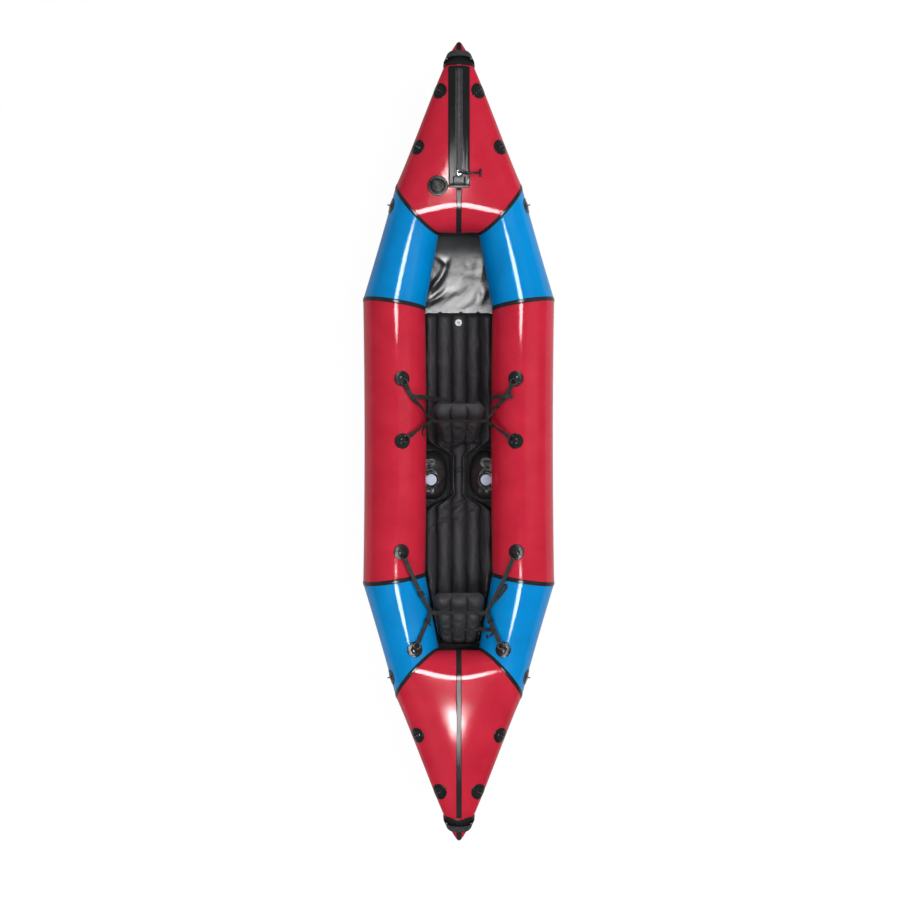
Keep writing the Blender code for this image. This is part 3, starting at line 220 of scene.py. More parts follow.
def flipped(points, side, end=1):
    """Points or ways on the starboard bow, moved to their own side and end."""
    return [at(point.x * side, point.y * end, point.z) for point in points]


def spot(panel, share, turn, side=1, end=1):
    """A place on the hull, and its directions outward, along the panel and round the tube."""
    point, step = SKINS[panel], 0.01
    here = point(share, turn)
    along = (point(share + step, turn) - point(share - step, turn)).normalized()
    outward = along.cross(point(share, turn + step) - point(share, turn - step)).normalized()
    if outward.dot(here - point(share, turn + pi)) < 0:
        outward = -outward
    return flipped((here, outward, along, outward.cross(along)), side, end)


def pucker(turn, from_seam):
    """How deep the cloth dips beside a welded seam, in a row of small uneven tucks."""
    tucks = sin(23 * turn + 1.7 * sin(3 * turn)) + 0.5 * sin(41 * turn + 2 * sin(5 * turn))
    return PUCKER_DEPTH * max(0.0, 1 - from_seam / PUCKER_REACH) ** 2 * tucks


def bent_grid(columns, rows, place, width=1.0, length=1.0):
    """Cloth as a grid, each point put where place says from how far across and along it is, 0 to 1."""
    cloth = bmesh.new()
    ops.create_grid(cloth, x_segments=columns, y_segments=rows, size=0.5)
    flat = cloth.loops.layers.uv.new("cloth")
    for face in cloth.faces:
        for corner in face.loops:
            corner[flat].uv = (corner.vert.co.x + 0.5) * width, (corner.vert.co.y + 0.5) * length
    for point in cloth.verts:
        point.co = place(point.co.x + 0.5, point.co.y + 0.5)
    ops.remove_doubles(cloth, verts=cloth.verts, dist=0.00001)
    ops.recalc_face_normals(cloth, faces=cloth.faces)
    return cloth


def made_up(name, shape, finish, replaces=None, body="boat", wall=0.0, smooth=40, offset=-1, blend=None,
            edges=0.0, segments=3, angle=30, levels=0):
    """A finished piece: shaded, given a wall or rounded edges, and set on the body or joint it moves with; a piece
    given a blend is only fixed where it stands.
    """
    made = in_scene(name, bpy.data.meshes.new(name))
    shape.to_mesh(made.data)
    shape.free()
    made.data.shade_smooth()
    made.data.set_sharp_from_angle(angle=radians(smooth))
    made.data.materials.append(finish)
    if wall:
        thick = made.modifiers.new("wall", "SOLIDIFY")
        thick.thickness, thick.offset = wall, offset
    if edges:
        soft = made.modifiers.new("edges", "BEVEL")
        soft.width, soft.segments, soft.limit_method, soft.angle_limit = edges, segments, "ANGLE", radians(angle)
    if levels:
        fine = made.modifiers.new("smooth", "SUBSURF")
        fine.levels = fine.render_levels = levels
    if blend:
        where, (start, end) = blend
        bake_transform(made)
        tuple(start)
        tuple(end)
    else:
        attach(made, body)
    if replaces:
        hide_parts(replaces)
    return made


def group_of(name, inputs, output):
    """An empty shader group with its sockets: floats, or vectors where the given value is a tuple."""
    tree = bpy.data.node_groups.new(name, "ShaderNodeTree")
    for label, value in inputs.items():
        kind = "NodeSocketVector" if isinstance(value, tuple) else "NodeSocketFloat"
        tree.interface.new_socket(label, in_out="INPUT", socket_type=kind).default_value = value
    tree.interface.new_socket(output, in_out="OUTPUT", socket_type="NodeSocketFloat")
    return tree, tree.nodes.new("NodeGroupInput").outputs, tree.nodes.new("NodeGroupOutput")


# Plain weave, seen square on whichever way the cloth faces: warp and weft waves at a thread's pitch
weave, given, result = group_of("weave", {"Vector": (0.0, 0.0, 0.0), "Facing": (0.0, 0.0, 0.0), "Pitch": 0.001},
                                "Height")
waves = node(weave, "VectorMath", {0: given["Vector"], 3: calc(weave, "DIVIDE", TURN, given["Pitch"])},
             operation="SCALE")
waves = node(weave, "VectorMath", {0: waves}, operation="SINE")
square_on = node(weave, "VectorMath", {0: given["Facing"], 1: given["Facing"]}, operation="MULTIPLY")
thread, facing = ({axis: node(weave, "SeparateXYZ", {0: source}, axis) for axis in "XYZ"}
                  for source in (waves, square_on))
total = 0.0
for one, other, out in "YZX", "ZXY", "XYZ":
    total = calc(weave, "MULTIPLY_ADD", calc(weave, "MULTIPLY", thread[one], thread[other]), facing[out], total)
wire(weave, result, {"Height": total})

# Mottling: a soft uneven value between two levels, as dye, dust and handling leave on cloth and plastic
mottle, given, result = group_of("mottle", {"Vector": (0.0, 0.0, 0.0), "Scale": 5.0, "Low": 0.0, "High": 1.0},
                                 "Value")
cloud = node(mottle, "TexNoise", {"Vector": given["Vector"], "Scale": given["Scale"], "Detail": 5.0,
                                  "Roughness": 0.6})
wire(mottle, result, {"Value": node(mottle, "MapRange", {"Value": cloud, "From Min": 0.30, "From Max": 0.70,
                                                         "To Min": given["Low"], "To Max": given["High"]})})


def mottled(tree, place, scale, low=0.0, high=1.0):
    return node(tree, "Group", {"Vector": place, "Scale": scale, "Low": low, "High": high}, node_tree=mottle)


def bump(tree, height, distance, strength=0.5, **under):
    return node(tree, "Bump", {"Height": height, "Distance": distance, "Strength": strength, **under})


def finish_of(name):
    """A new material, its tree, and the place that its patterns read."""
    made = bpy.data.materials.new(name)
    made.use_nodes = True
    where = made.node_tree.nodes.new("ShaderNodeTexCoord").outputs
    return made, made.node_tree, where, where["Object"]


def finished(made, shade, first, second, dull, relief, extra):
    """Joins to a material's shader the shade between two colours, the roughness, the relief and the rest."""
    tree = made.node_tree
    tint = node(tree, "Mix", {"Factor": shade, "A": (*first, 1), "B": (*second, 1)}, "Result", data_type="RGBA")
    wire(tree, tree.nodes["Principled BSDF"], {"Base Color": tint, "Roughness": dull, "Normal": relief, **extra})
    return made


def coated_cloth(name, colour, deep, roughness, pitch, relief, shine=0.3, wrinkle=0.0, dull_past=None):
    """Woven cloth under a smooth coating: a faint weave, uneven colour and shine, soft wrinkles, dull ends."""
    made, tree, where, place = finish_of(name)
    dull = mottled(tree, place, 19.0, roughness * 0.85, roughness * 1.2)
    if dull_past:
        reach = calc(tree, "ABSOLUTE", node(tree, "SeparateXYZ", {0: place}, "Y"))
        past = node(tree, "MapRange", {"Value": reach, "From Min": dull_past, "From Max": dull_past + 0.06,
                                       "To Min": 0.0, "To Max": 0.5})
        dull = calc(tree, "ADD", dull, past)
    threads = node(tree, "Group", {"Vector": place, "Facing": where["Normal"], "Pitch": pitch}, node_tree=weave)
    surface = bump(tree, threads, relief)
    if wrinkle:
        folds = node(tree, "TexNoise", {"Vector": place, "Scale": 14.0, "Detail": 3.0, "Roughness": 0.5,
                                        "Distortion": 0.8})
        surface = bump(tree, folds, wrinkle, 0.6, Normal=surface)
    return finished(made, mottled(tree, place, 7.0), deep, colour, dull, surface, {"Specular IOR Level": shine})


hull_red, hull_blue = (coated_cloth(name, colour, deep, 0.11, HULL_PITCH, HULL_RELIEF, wrinkle=0.0004)
                       for name, colour, deep in (("hull_red", (0.56, 0.021, 0.046), (0.47, 0.014, 0.034)),
                                                  ("hull_blue", (0.0, 0.255, 0.640), (0.0, 0.205, 0.525))))


def hull_panel(name, panel, rows, finish, side, end):
    """One panel of the air tube as a sleeve from seam to seam, its rows closer beside the seams."""
    def place(around, along):
        turn, along, board = TURN * around, along - 0.12 * sin(TURN * along), side
        to_seam = min(along, 1 - along)
        share, from_seam = along, 0.5 * to_seam
        if panel == "nose":
            board, share = (1, 2 * along) if along < 0.5 else (-1, 2 - 2 * along)
        elif panel == "side":
            share, from_seam = 2 * along - 1, 2 * SIDE_SEAM_Y * to_seam
        here, outward = spot(panel, share, turn, board, end)[:2]
        return here - outward * (pucker(turn, from_seam) + HULL_SINK)

    return made_up(f"{name}_skin", bent_grid(HULL_SIDES, rows, place), finish, name, wall=HULL_WALL)


hull_skins = []
for side, board in BOARDS:
    hull_skins.append(hull_panel(f"{board}_side_tube", "side", 60, hull_red, side, 1))
    hull_skins += [hull_panel(f"{board}_{where_at}_shoulder", "shoulder", 36, hull_blue, side, end)
                   for end, where_at in ENDS]
hull_skins += [hull_panel(f"{where_at}_cone", "nose", 84, hull_red, 1, end) for end, where_at in ENDS]
skin_net = bmesh.new()
for panel in hull_skins:
    skin_net.from_mesh(panel.data)
hull = BVHTree.FromBMesh(skin_net)
skin_net.free()


def laid(point, inward, lift):
    """Where a straight line inward from the point meets the hull, lifted off it again."""
    return hull.ray_cast(point, inward)[0] - inward * lift


# Seam tapes. Black coated tape about 20 mm wide, welded round the tube over each seam between two
# panels, and wider tape along the middle seam of the bow and the stern, which shows again past the
# handles at both tips.
RING_TAPE_WIDTH, CENTRE_TAPE_WIDTH = 0.020, 0.024
TAPE_WALL, TAPE_LIFT, TAPE_EDGE_DROP = 0.0010, 0.0013, 0.0006
TAPE_START_TURN, TAPE_END_Y, TIP_TAPE_TURN = radians(205), (1.162, 1.722), radians(22)
black_tape = coated_cloth("black_tape", (0.012, 0.012, 0.014), (0.026, 0.027, 0.028), 0.14, 0.0009, 0.00004,
                          wrinkle=0.0006)


def ring_tape(name, first, second, side, end):
    """A tape round the tube over the seam of two panels, each given with its own end of the seam."""
    def place(across, around):
        distance, turn = (across - 0.5) * RING_TAPE_WIDTH, TURN * around
        panel, seam = first if distance < 0 else second
        point, step = SKINS[panel], 0.01 - 0.02 * seam
        speed = (point(seam, turn) - point(seam + step, turn)).length / step
        here, outward = spot(panel, seam + abs(distance) / speed, turn)[:2]
        lifted = here + outward * (TAPE_LIFT - TAPE_EDGE_DROP * abs(across - 0.5))
        return flipped([lifted], side, end)[0]

    made_up(name, bent_grid(6, HULL_SIDES, place, RING_TAPE_WIDTH, 0.92), black_tape, wall=TAPE_WALL)


def centre_tape(name, first, last, end, replaces=None):
    """Tape on the middle seam, between two turns of the end's outline."""
    def place(across, along):
        turn = first + (last - first) * along
        ahead = (nose_profile(turn - 0.01) - nose_profile(turn + 0.01)).normalized()
        outward = at(0, -ahead.z, ahead.y)
        start = nose_profile(turn) + outward * 0.03 + at((across - 0.5) * CENTRE_TAPE_WIDTH, 0, 0)
        return laid(*flipped((start, -outward), 1, end), TAPE_LIFT)

    made_up(name, bent_grid(6, 110, place, CENTRE_TAPE_WIDTH, 0.9), black_tape, replaces, wall=TAPE_WALL)


for side, board in BOARDS:
    for end, where_at in ENDS:
        ring_tape(f"{board}_{where_at}_side_seam_tape", ("side", 1), ("shoulder", 0), side, end)
        ring_tape(f"{board}_{where_at}_end_seam_tape", ("shoulder", 1), ("nose", 0), side, end)
for (end, where_at), last_y in zip(ENDS, TAPE_END_Y):
    centre_tape(f"{where_at}_centre_seam_tape", TAPE_START_TURN, acos((last_y - knuckle_y) / nose_length), end,
                f"{where_at}_centre_tape")
    centre_tape(f"{where_at}_tip_tape", TIP_TAPE_TURN, -TIP_TAPE_TURN, end)

# The floor. One sheet of heavy dark coated cloth, welded along the tube's underside. It is stretched by
# the tube but not blown up, so it lies in long slanting creases where the mat leaves it bare. Each crease:
# its middle, the way it lies in degrees, and its height, width and length.
FLOOR_TOP, FLOOR_LAP, FLOOR_WALL = 0.003, 0.030, 0.0022
FLOOR_END_Y, FLOOR_TURNS_UP_Y, FLOOR_TURN_LENGTH, FLOOR_WELD_GAP = 1.112, 0.990, 0.085, 0.0004
BARE_PAST_Y, BARE_FADE = 0.645, 0.05
CREASES = ((-0.105, 0.775, 62, 0.0048, 0.016, 0.095), (-0.115, 0.690, 46, 0.0042, 0.014, 0.070),
           (-0.080, 0.880, 150, 0.0026, 0.013, 0.034), (0.030, 0.660, 38, 0.0018, 0.016, 0.050),
           (0.112, 0.800, 96, 0.0016, 0.018, 0.070), (0.118, 0.700, 80, 0.0022, 0.018, 0.050),
           (-0.040, 0.720, 52, 0.0014, 0.020, 0.080))
floor_cloth = coated_cloth("floor_cloth", (0.024, 0.025, 0.027), (0.014, 0.015, 0.016), 0.18, 0.0011, 0.00004,
                           shine=0.34, wrinkle=0.0009, dull_past=0.885)


def ease(share):
    """A smooth step from 0 to 1."""
    share = min(1.0, max(0.0, share))
    return share * share * (3 - 2 * share)


def floor_edge(y):
    """Half the width of the floor, out to its lap under the tube."""
    reach = abs(y)
    if reach <= SIDE_SEAM_Y:
        return side_section(reach / SIDE_SEAM_Y)[0].x + FLOOR_LAP
    low, high = 0.0, 1.0
    for step in range(14):
        share = (low + high) / 2
        centre, across, up = shoulder_section(share)
        low, high = (share, high) if centre.y - up.y < reach else (low, share)
    return centre.x - up.x + FLOOR_LAP * across.x / across.length


def crease(x, y):
    """The height of the floor's creases: long soft ridges, each lying its own way."""
    height = 0.0008 * noise.noise(at(x * 24, y * 24, 0))
    for mid_x, mid_y, degrees, tall, wide, length in CREASES:
        way_x, way_y = cos(radians(degrees)), sin(radians(degrees))
        along = (x - mid_x) * way_x + (y - mid_y) * way_y
        off = (y - mid_y) * way_x - (x - mid_x) * way_y + 0.006 * sin(along * 30)
        height += tall * exp(-(off / wide) ** 2 - (along / length) ** 2)
    return height


def floor_place(across, along):
    y = (2 * along - 1) * FLOOR_END_Y
    x = (2 * across - 1) * floor_edge(y)
    bare = min(1.0, max(0.0, (abs(y) - BARE_PAST_Y) / BARE_FADE))
    bare *= min(1.0, max(0.0, (floor_edge(y) - 0.05 - abs(x)) / BARE_FADE))
    z = FLOOR_TOP + rocker(y) + max(0.0, crease(x, y if y > 0 else 0.02 - y)) * bare
    if abs(y) >= FLOOR_TURNS_UP_Y:
        welded_z = laid(at(x, y, -1), UP, FLOOR_WELD_GAP).z
        z += (welded_z - z) * ease((abs(y) - FLOOR_TURNS_UP_Y) / FLOOR_TURN_LENGTH)
    return at(x, y, z)


floor_shape = bent_grid(96, 300, floor_place, 2 * floor_edge(0), 2 * FLOOR_END_Y)
floor_area = sum(face.calc_area() for face in floor_shape.faces)
floor_skin = made_up("floor_skin", floor_shape, floor_cloth, "floor_sheet", wall=FLOOR_WALL)
2 * floor_edge(SIDE_SEAM_Y)

# The floor mat. Two sheets of matt nylon welded round the rim and along four lines, so that air
# makes five long chambers of it. It is drawn in between the two seats, and small tabs along its
# front edge tie it to the floor.
MAT_FRONT_Y, MAT_REAR_Y = 0.629, -0.979
MAT_HALF_WIDTH, MAT_HEIGHT = 0.180, 0.0550
MAT_CHAMBERS, MAT_CHANNEL = 5, 0.56
MAT_TAPER_Y, MAT_TAPER = -0.620, 0.20
MAT_WAIST_Y, MAT_WAIST_HALF, MAT_WAIST_LENGTH, MAT_WAIST_RUN = -0.162, 0.046, 0.170, 0.100
MAT_ROUNDING, MAT_FLANGE = 0.035, 0.006
MAT_VALVE_Y, MAT_VALVE_SINK = 0.574, 0.004
MAT_SEAT_RADIUS, MAT_SEAT_RUN, MAT_SEAT_WELD, MAT_CREASE_WIDTH = 0.020, 0.022, 0.030, 0.007
MAT_CREASES = ((-0.007, 0.030, 0.45, 0.10), (-0.134, -0.020, 0.40, 0.05), (-0.300, 0.045, 0.45, 0.07),
               (0.040, -0.060, 0.30, 0.16), (-0.350, 0.070, 0.30, 0.16))
MAT_TABS, TAB_WIDTH = (-0.088, 0.012, 0.095), 0.016
SHEET_HALF, SHEETS_PART_OVER, CLEARANCE = 0.0008, 0.002, 0.0003
PRESSURE, AIR_STEPS, PUFF_CAP = 3.0, 20, 0.004
mat_cloth = coated_cloth("mat_cloth", (0.036, 0.036, 0.040), (0.026, 0.026, 0.029), 0.58, 0.0011, 0.00016,
                         wrinkle=0.0012)


def crown(distance, radius):
    """The rise of a rounded edge, from 0 on its outline to 1 once past its radius."""
    return sqrt(max(0.0, 1 - max(0.0, 1 - max(0.0, distance) / radius) ** 2))


def across_chambers(across, chambers):
    """How far across a cushion a column stands, closer beside the welds, and how round it is there."""
    chamber = min(int(across * chambers + 0.000001), chambers - 1)
    swing = pi * (across * chambers - chamber - 0.5)
    return (chamber + 0.5 + 0.5 * sin(swing)) / chambers, max(0.0, cos(swing))


def on_weld(share, chambers):
    return abs(share * chambers - round(share * chambers)) < 0.02


def parting(inside):
    """How far each sheet of a cushion stands off the middle, this far inside the rim."""
    return SHEET_HALF * min(1.0, max(0.0, inside) / SHEETS_PART_OVER)


def cushion(name, columns, rows, place, welded, size, slack, finish, replaces, body="boat"):
    """Two sheets welded round their rim and blown up: place takes how far across and along, and the side."""
    both, lower = (bent_grid(columns, rows, lambda across, along: place(across, along, side), *size)
                   for side in (1, -1))
    spare = bpy.data.meshes.new("lower_sheet")
    lower.to_mesh(spare)
    lower.free()
    both.from_mesh(spare)
    bpy.data.meshes.remove(spare)
    ops.remove_doubles(both, verts=both.verts, dist=0.0001)
    ops.recalc_face_normals(both, faces=both.faces)
    blow_up(both, welded, slack)
    made = made_up(name, both, finish, replaces, body, smooth=80, levels=1)


def blow_up(both, welded, slack):
    """Lets air into a cushion: welded cloth stays, the rest swells and puckers by no more than the cap."""
    trial = in_scene("in_air", bpy.data.meshes.new("in_air"))
    both.to_mesh(trial.data)
    was = [point.co.copy() for point in trial.data.vertices]
    welds = trial.vertex_groups.new(name="welds")
    welds.add([i for i, place in enumerate(was) if welded(place)], 1.0, "REPLACE")
    air = trial.modifiers.new("air", "CLOTH")
    cloth = air.settings
    cloth.quality, cloth.use_pressure, cloth.uniform_pressure_force = 5, True, PRESSURE
    cloth.shrink_min, cloth.bending_stiffness, cloth.vertex_group_mass = -slack, 0.3, "welds"
    cloth.effector_weights.gravity = 0
    air.collision_settings.use_collision = False
    for step in range(AIR_STEPS):
        scene.frame_set(step + 1)
    swollen = trial.evaluated_get(bpy.context.evaluated_depsgraph_get()).to_mesh()
    both.verts.ensure_lookup_table()
    for i, place in enumerate(was):
        moved = swollen.vertices[i].co - place
        both.verts[i].co = place + moved * min(1.0, PUFF_CAP / max(moved.length, 0.000001))
    mesh = trial.data
    bpy.data.objects.remove(trial)
    bpy.data.meshes.remove(mesh)
    scene.frame_set(1)


def mat_edge(y):
    """Half the mat's width: straight, drawn in at the waist, tapered aft, rounded at the corners."""
    wide = MAT_HALF_WIDTH - MAT_TAPER * max(0.0, MAT_TAPER_Y - y)
    from_waist = abs(y - MAT_WAIST_Y) - MAT_WAIST_LENGTH / 2
    wide += (MAT_WAIST_HALF - wide) * (1 - ease(from_waist / MAT_WAIST_RUN))
    return wide - MAT_ROUNDING * (1 - crown(min(MAT_FRONT_Y - y, y - MAT_REAR_Y), MAT_ROUNDING))


def inside_mat(x, y):
    return min(mat_edge(y) - abs(x), MAT_FRONT_Y - y, y - MAT_REAR_Y)


mat_face = at(0, MAT_VALVE_Y, FLOOR_TOP + CLEARANCE + MAT_HEIGHT - MAT_VALVE_SINK)


def mat_place(across, along, side):
    y = MAT_FRONT_Y + (MAT_REAR_Y - MAT_FRONT_Y) * (along - 0.006 * sin(TURN * along))
    share, roundness = across_chambers(across, MAT_CHAMBERS)
    flat_x, edge = (2 * share - 1) * MAT_HALF_WIDTH, mat_edge(y)
    fixed = max(0.0, edge - MAT_ROUNDING)
    past = max(0.0, abs(flat_x) - fixed) / (MAT_HALF_WIDTH - fixed)
    x = copysign(min(abs(flat_x), fixed) + (edge - fixed) * past, flat_x)
    inside = inside_mat(x, y)
    parted, base = parting(inside), FLOOR_TOP + rocker(y) + CLEARANCE + SHEET_HALF
    if side < 0:
        return at(x, y, base - parted)
    swell = crown(inside - MAT_FLANGE, MAT_ROUNDING) * (1 - MAT_CHANNEL * (1 - roundness))
    for crease_y, bow, deep, reach in MAT_CREASES:
        off = y - crease_y - bow * (x / 0.15) - 0.006 * sin(x * 60)
        swell *= 1 - deep * exp(-(off / MAT_CREASE_WIDTH) ** 2) * exp(-(x / reach) ** 4)
    swell *= 1 + 0.05 * noise.noise(at(x * 9, y * 9, 3))
    height, level = parted + (MAT_HEIGHT - SHEET_HALF * 3) * min(1.0, swell), mat_face.z - base - 0.0004
    from_valve = hypot(x, y - mat_face.y)
    return at(x, y, base + level + (height - level) * ease((from_valve - MAT_SEAT_RADIUS) / MAT_SEAT_RUN))


def mat_welded(place):
    return (inside_mat(place.x, place.y) < MAT_FLANGE or place.z - FLOOR_TOP - rocker(place.y) < 0.003
            or on_weld(place.x / (2 * MAT_HALF_WIDTH) + 0.5, MAT_CHAMBERS)
            or hypot(place.x, place.y - mat_face.y) < MAT_SEAT_WELD)


cushion("mat_skin", MAT_CHAMBERS * 8, 176, mat_place, mat_welded, (2 * MAT_HALF_WIDTH, MAT_FRONT_Y - MAT_REAR_Y),
        0.02, mat_cloth, "mat")
for number, tab_x in enumerate(MAT_TABS, 1):
    def tab_place(across, along):
        return at(tab_x + (across - 0.5) * TAB_WIDTH, MAT_FRONT_Y - 0.004 + 0.007 * sin(pi * along),
                  FLOOR_TOP + rocker(MAT_FRONT_Y) + 0.0050 - 0.0032 * cos(pi * along))
    made_up(f"mat_tab_{number}", bent_grid(3, 8, tab_place, TAB_WIDTH, 0.022), mat_cloth, wall=0.0008)

# The valves of the mat and of the brace cushions. Moulded flanges welded to the cloth, each with a
# spigot under a screw cap: black and small on the mat, white and large on the cushions. Grips run
# round each cap's rim, and its top is dished inside a raised ring.
BRACE_VALVE_X, BRACE_VALVE_Y, BRACE_VALVE_Z = 0.132, -0.183, 0.080
SPIGOT, SEAT_RISE = 0.0025, 0.002


def moulded(name, colour, roughness, grain=0.00005, dust=0.5, shine=0.5):
    """Moulded plastic: a fine grain, patchy shine, and paler worn edges."""
    made, tree, _, place = finish_of(name)
    worn = node(tree, "MapRange", {"Value": node(tree, "NewGeometry", {}, "Pointiness"), "From Min": 0.52,
                                   "From Max": 0.60, "To Min": 0.0, "To Max": dust})
    shade = calc(tree, "MULTIPLY_ADD", mottled(tree, place, 60.0), 0.35, worn)
    dull = mottled(tree, place, 90.0, roughness * 0.8, roughness * 1.25)
    texture = node(tree, "TexNoise", {"Vector": place, "Scale": 1800.0, "Detail": 2.0})
    return finished(made, shade, colour, [level * 0.8 + 0.035 for level in colour], dull,
                    bump(tree, texture, grain), {"Specular IOR Level": shine})


black_plastic = moulded("black_plastic", (0.006, 0.006, 0.007), 0.27, dust=0.15, shine=0.3)
glossy_plastic = moulded("glossy_plastic", (0.008, 0.008, 0.009), 0.12, dust=0.2, shine=0.7)
white_plastic = moulded("white_plastic", (0.62, 0.72, 0.88), 0.34, dust=0.0)


def turned(outline, sides=48):
    """A turned piece: an outline of radius and height pairs, from axis to axis, spun round the upright."""
    shape = bmesh.new()
    points = [shape.verts.new((radius, 0, height)) for radius, height in outline]
    edges = [shape.edges.new(pair) for pair in zip(points, points[1:])]
    ops.spin(shape, geom=points + edges, angle=TURN, steps=sides, axis=(0, 0, 1), cent=(0, 0, 0), use_merge=True)
    ops.remove_doubles(shape, verts=shape.verts, dist=0.00001)
    ops.recalc_face_normals(shape, faces=shape.faces)
    return shape


def screw_cap(radius, height, grips, rings, depth=0.0010):
    """A screw cap, hollow under its middle: grips round the rim, and raised rings on its dished top."""
    room, dish = radius * 0.3 + CLEARANCE, height - 0.0022
    outline = [(0, SPIGOT + CLEARANCE), (room, SPIGOT + CLEARANCE), (room, 0), (radius - 0.0014, 0),
               (radius - 0.0003, 0.0006), (radius, 0.0016), (radius, height - 0.0028),
               (radius - 0.0005, height - 0.0016), (radius - 0.0016, height - 0.0004), (radius - 0.0032, height),
               (radius * 0.80, height), (radius * 0.77, height - 0.0006), (radius * 0.75, dish)]
    for share in rings:
        outline += [(radius * share + off, dish + rise) for off, rise in
                    ((0.0016, 0), (0.0011, 0.0012), (0, 0.0015), (-0.0011, 0.0012), (-0.0016, 0))]
    cap = turned(outline + [(radius * 0.10, dish), (0, height - 0.0020)], grips * 6)
    for point in cap.verts:
        rim = radius - depth * max(0.0, cos(grips * atan2(point.co.y, point.co.x))) ** 2
        point.co.xy *= min(1.0, rim / max(hypot(point.co.x, point.co.y), 0.000001))
    return cap


def valve_base(radius, height=0.002):
    """A welded flange with a bead round its edge and the spigot that its cap turns on."""
    spigot = radius * 0.22
    return turned([(0, 0), (radius - 0.0006, 0), (radius, 0.0006), (radius, height * 0.6),
                   (radius - 0.0008, height), (radius - 0.0024, height), (radius - 0.0034, height - 0.0006),
                   (radius * 0.86, height - 0.0006), (radius * 0.84, height), (spigot + 0.0008, height),
                   (spigot, height + 0.0006), (spigot, height + SPIGOT - 0.0004),
                   (spigot - 0.0005, height + SPIGOT), (0, height + SPIGOT)])


def set_at(shape, place):
    ops.translate(shape, verts=shape.verts, vec=place)
    return shape


def valve(name, body, nodes, place, flange, base_finish, cap, cap_finish):
    """A valve's flange at its place and the screw cap over it."""
    foot = place + UP * CLEARANCE
    made_up(f"{name}_flange", set_at(valve_base(flange), foot), base_finish, nodes[0], smooth=35)
    made_up(f"{name}_top", set_at(screw_cap(*cap), foot + UP * (CLEARANCE + SEAT_RISE)), cap_finish, nodes[1],
            body, smooth=35)


valve("mat_valve", "mat_cap", ("mat_valve_base", "mat_valve_cap"), mat_face, 0.0165, glossy_plastic,
      (0.0125, 0.006, 16, (0.55, 0.30)), glossy_plastic)
for side, board in BOARDS:
    valve(f"{board}_brace", f"{board}_cap", (f"{board}_brace_valve", f"{board}_brace_cap"),
          at(BRACE_VALVE_X * side, BRACE_VALVE_Y, BRACE_VALVE_Z), 0.033, black_plastic,
          (0.027, 0.010, 22, (0.62, 0.34), 0.0024), white_plastic)

# The brace cushions. Two smooth satin pillows that fill the corners beside the mat's waist, pressed
# in under the side tubes. A round seat in the top carries the valve, and a welded lip runs round them.
BRACE_INNER_X, BRACE_OUTER_X = MAT_WAIST_HALF + 0.006, 0.2528
BRACE_MIDDLE_Y, BRACE_HALF_LENGTH, BRACE_HEIGHT = BRACE_VALVE_Y + 0.021, 0.126, 0.086
BRACE_TUBE_GAP, BRACE_LIP = 0.004, 0.004
BRACE_SEAT_RADIUS, BRACE_SEAT_RUN, BRACE_SEAT_WELD = 0.036, 0.012, 0.040
satin_cloth = coated_cloth("satin_cloth", (0.016, 0.017, 0.018), (0.010, 0.010, 0.011), 0.30, 0.0008, 0.00008,
                           shine=0.5, wrinkle=0.0022)


def under_tube(x):
    """The height of the side tube's underside amidships, above x."""
    centre = side_section(0)[0]
    if x <= centre.x - TUBE_RADIUS:
        return 1.0
    return centre.z - sqrt(max(0.0, TUBE_RADIUS**2 - (x - centre.x) ** 2))


for side, board in BOARDS:
    middle_x, half_x = (BRACE_INNER_X + BRACE_OUTER_X) / 2, (BRACE_OUTER_X - BRACE_INNER_X) / 2
    base = FLOOR_TOP + CLEARANCE + SHEET_HALF

    def brace_place(across, along, over):
        onward, sideways = sin(pi * (along - 0.5)), sin(pi * (across - 0.5))
        wide = half_x * max(0.0, 1 - abs(onward) ** 2.5) ** 0.4
        x, y = middle_x + wide * sideways, BRACE_MIDDLE_Y + BRACE_HALF_LENGTH * onward
        inside = min(wide * (1 - abs(sideways)), BRACE_HALF_LENGTH * (1 - abs(onward)))
        parted = parting(inside)
        if over < 0:
            return at(x * side, y, base - parted)
        roundness = sqrt(max(0.0, 1 - abs(sideways) ** 3.2) * max(0.0, 1 - abs(onward) ** 3.2))
        top = parted + (BRACE_HEIGHT - 0.002) * roundness * ease(inside / (3 * BRACE_LIP))
        top *= 1 + 0.04 * noise.noise(at(x * 16, y * 16, side * 4))
        z = base + min(top, max(parted, under_tube(x) - base - BRACE_TUBE_GAP - 0.001))
        from_valve, level = hypot(x - BRACE_VALVE_X, y - BRACE_VALVE_Y), BRACE_VALVE_Z - 0.0002
        if z >= level - 0.012 or from_valve <= 0.05:
            z = level + (z - level) * ease((from_valve - BRACE_SEAT_RADIUS) / BRACE_SEAT_RUN)
        return at(x * side, y, z)

    def brace_welded(place):
        x = abs(place.x)
        return (place.z < base + 0.003 or place.z > under_tube(x) - BRACE_TUBE_GAP - 0.006
                or hypot(x - BRACE_VALVE_X, place.y - BRACE_VALVE_Y) < BRACE_SEAT_WELD)

    cushion(f"{board}_brace_cushion_skin", 44, 52, brace_place, brace_welded, (2 * half_x, 2 * BRACE_HALF_LENGTH),
            0.03, satin_cloth, f"{board}_brace_cushion")

# The backrests. Each is a padded cushion of three upright chambers, welded from the same matt cloth as
# the mat, standing on its lower edge and leaning forward. Its belt lies in a crease across the back.
BACK_HEIGHT, BACK_THICKNESS, BACK_BASE_HALF, BACK_TOP_HALF = 0.290, 0.075, 0.090, 0.125
BACK_CHAMBERS, BACK_CHANNEL, BACK_ROUNDING, BACK_FLANGE = 3, 0.50, 0.050, 0.005
BACK_CREASE, BACK_CREASE_HALF_WIDTH, BELT_HEIGHT = 0.20, 0.014, 0.200
BACKS = {"front": (0.007, 0.0665, 35), "rear": (-0.955, 0.1080, 60)}


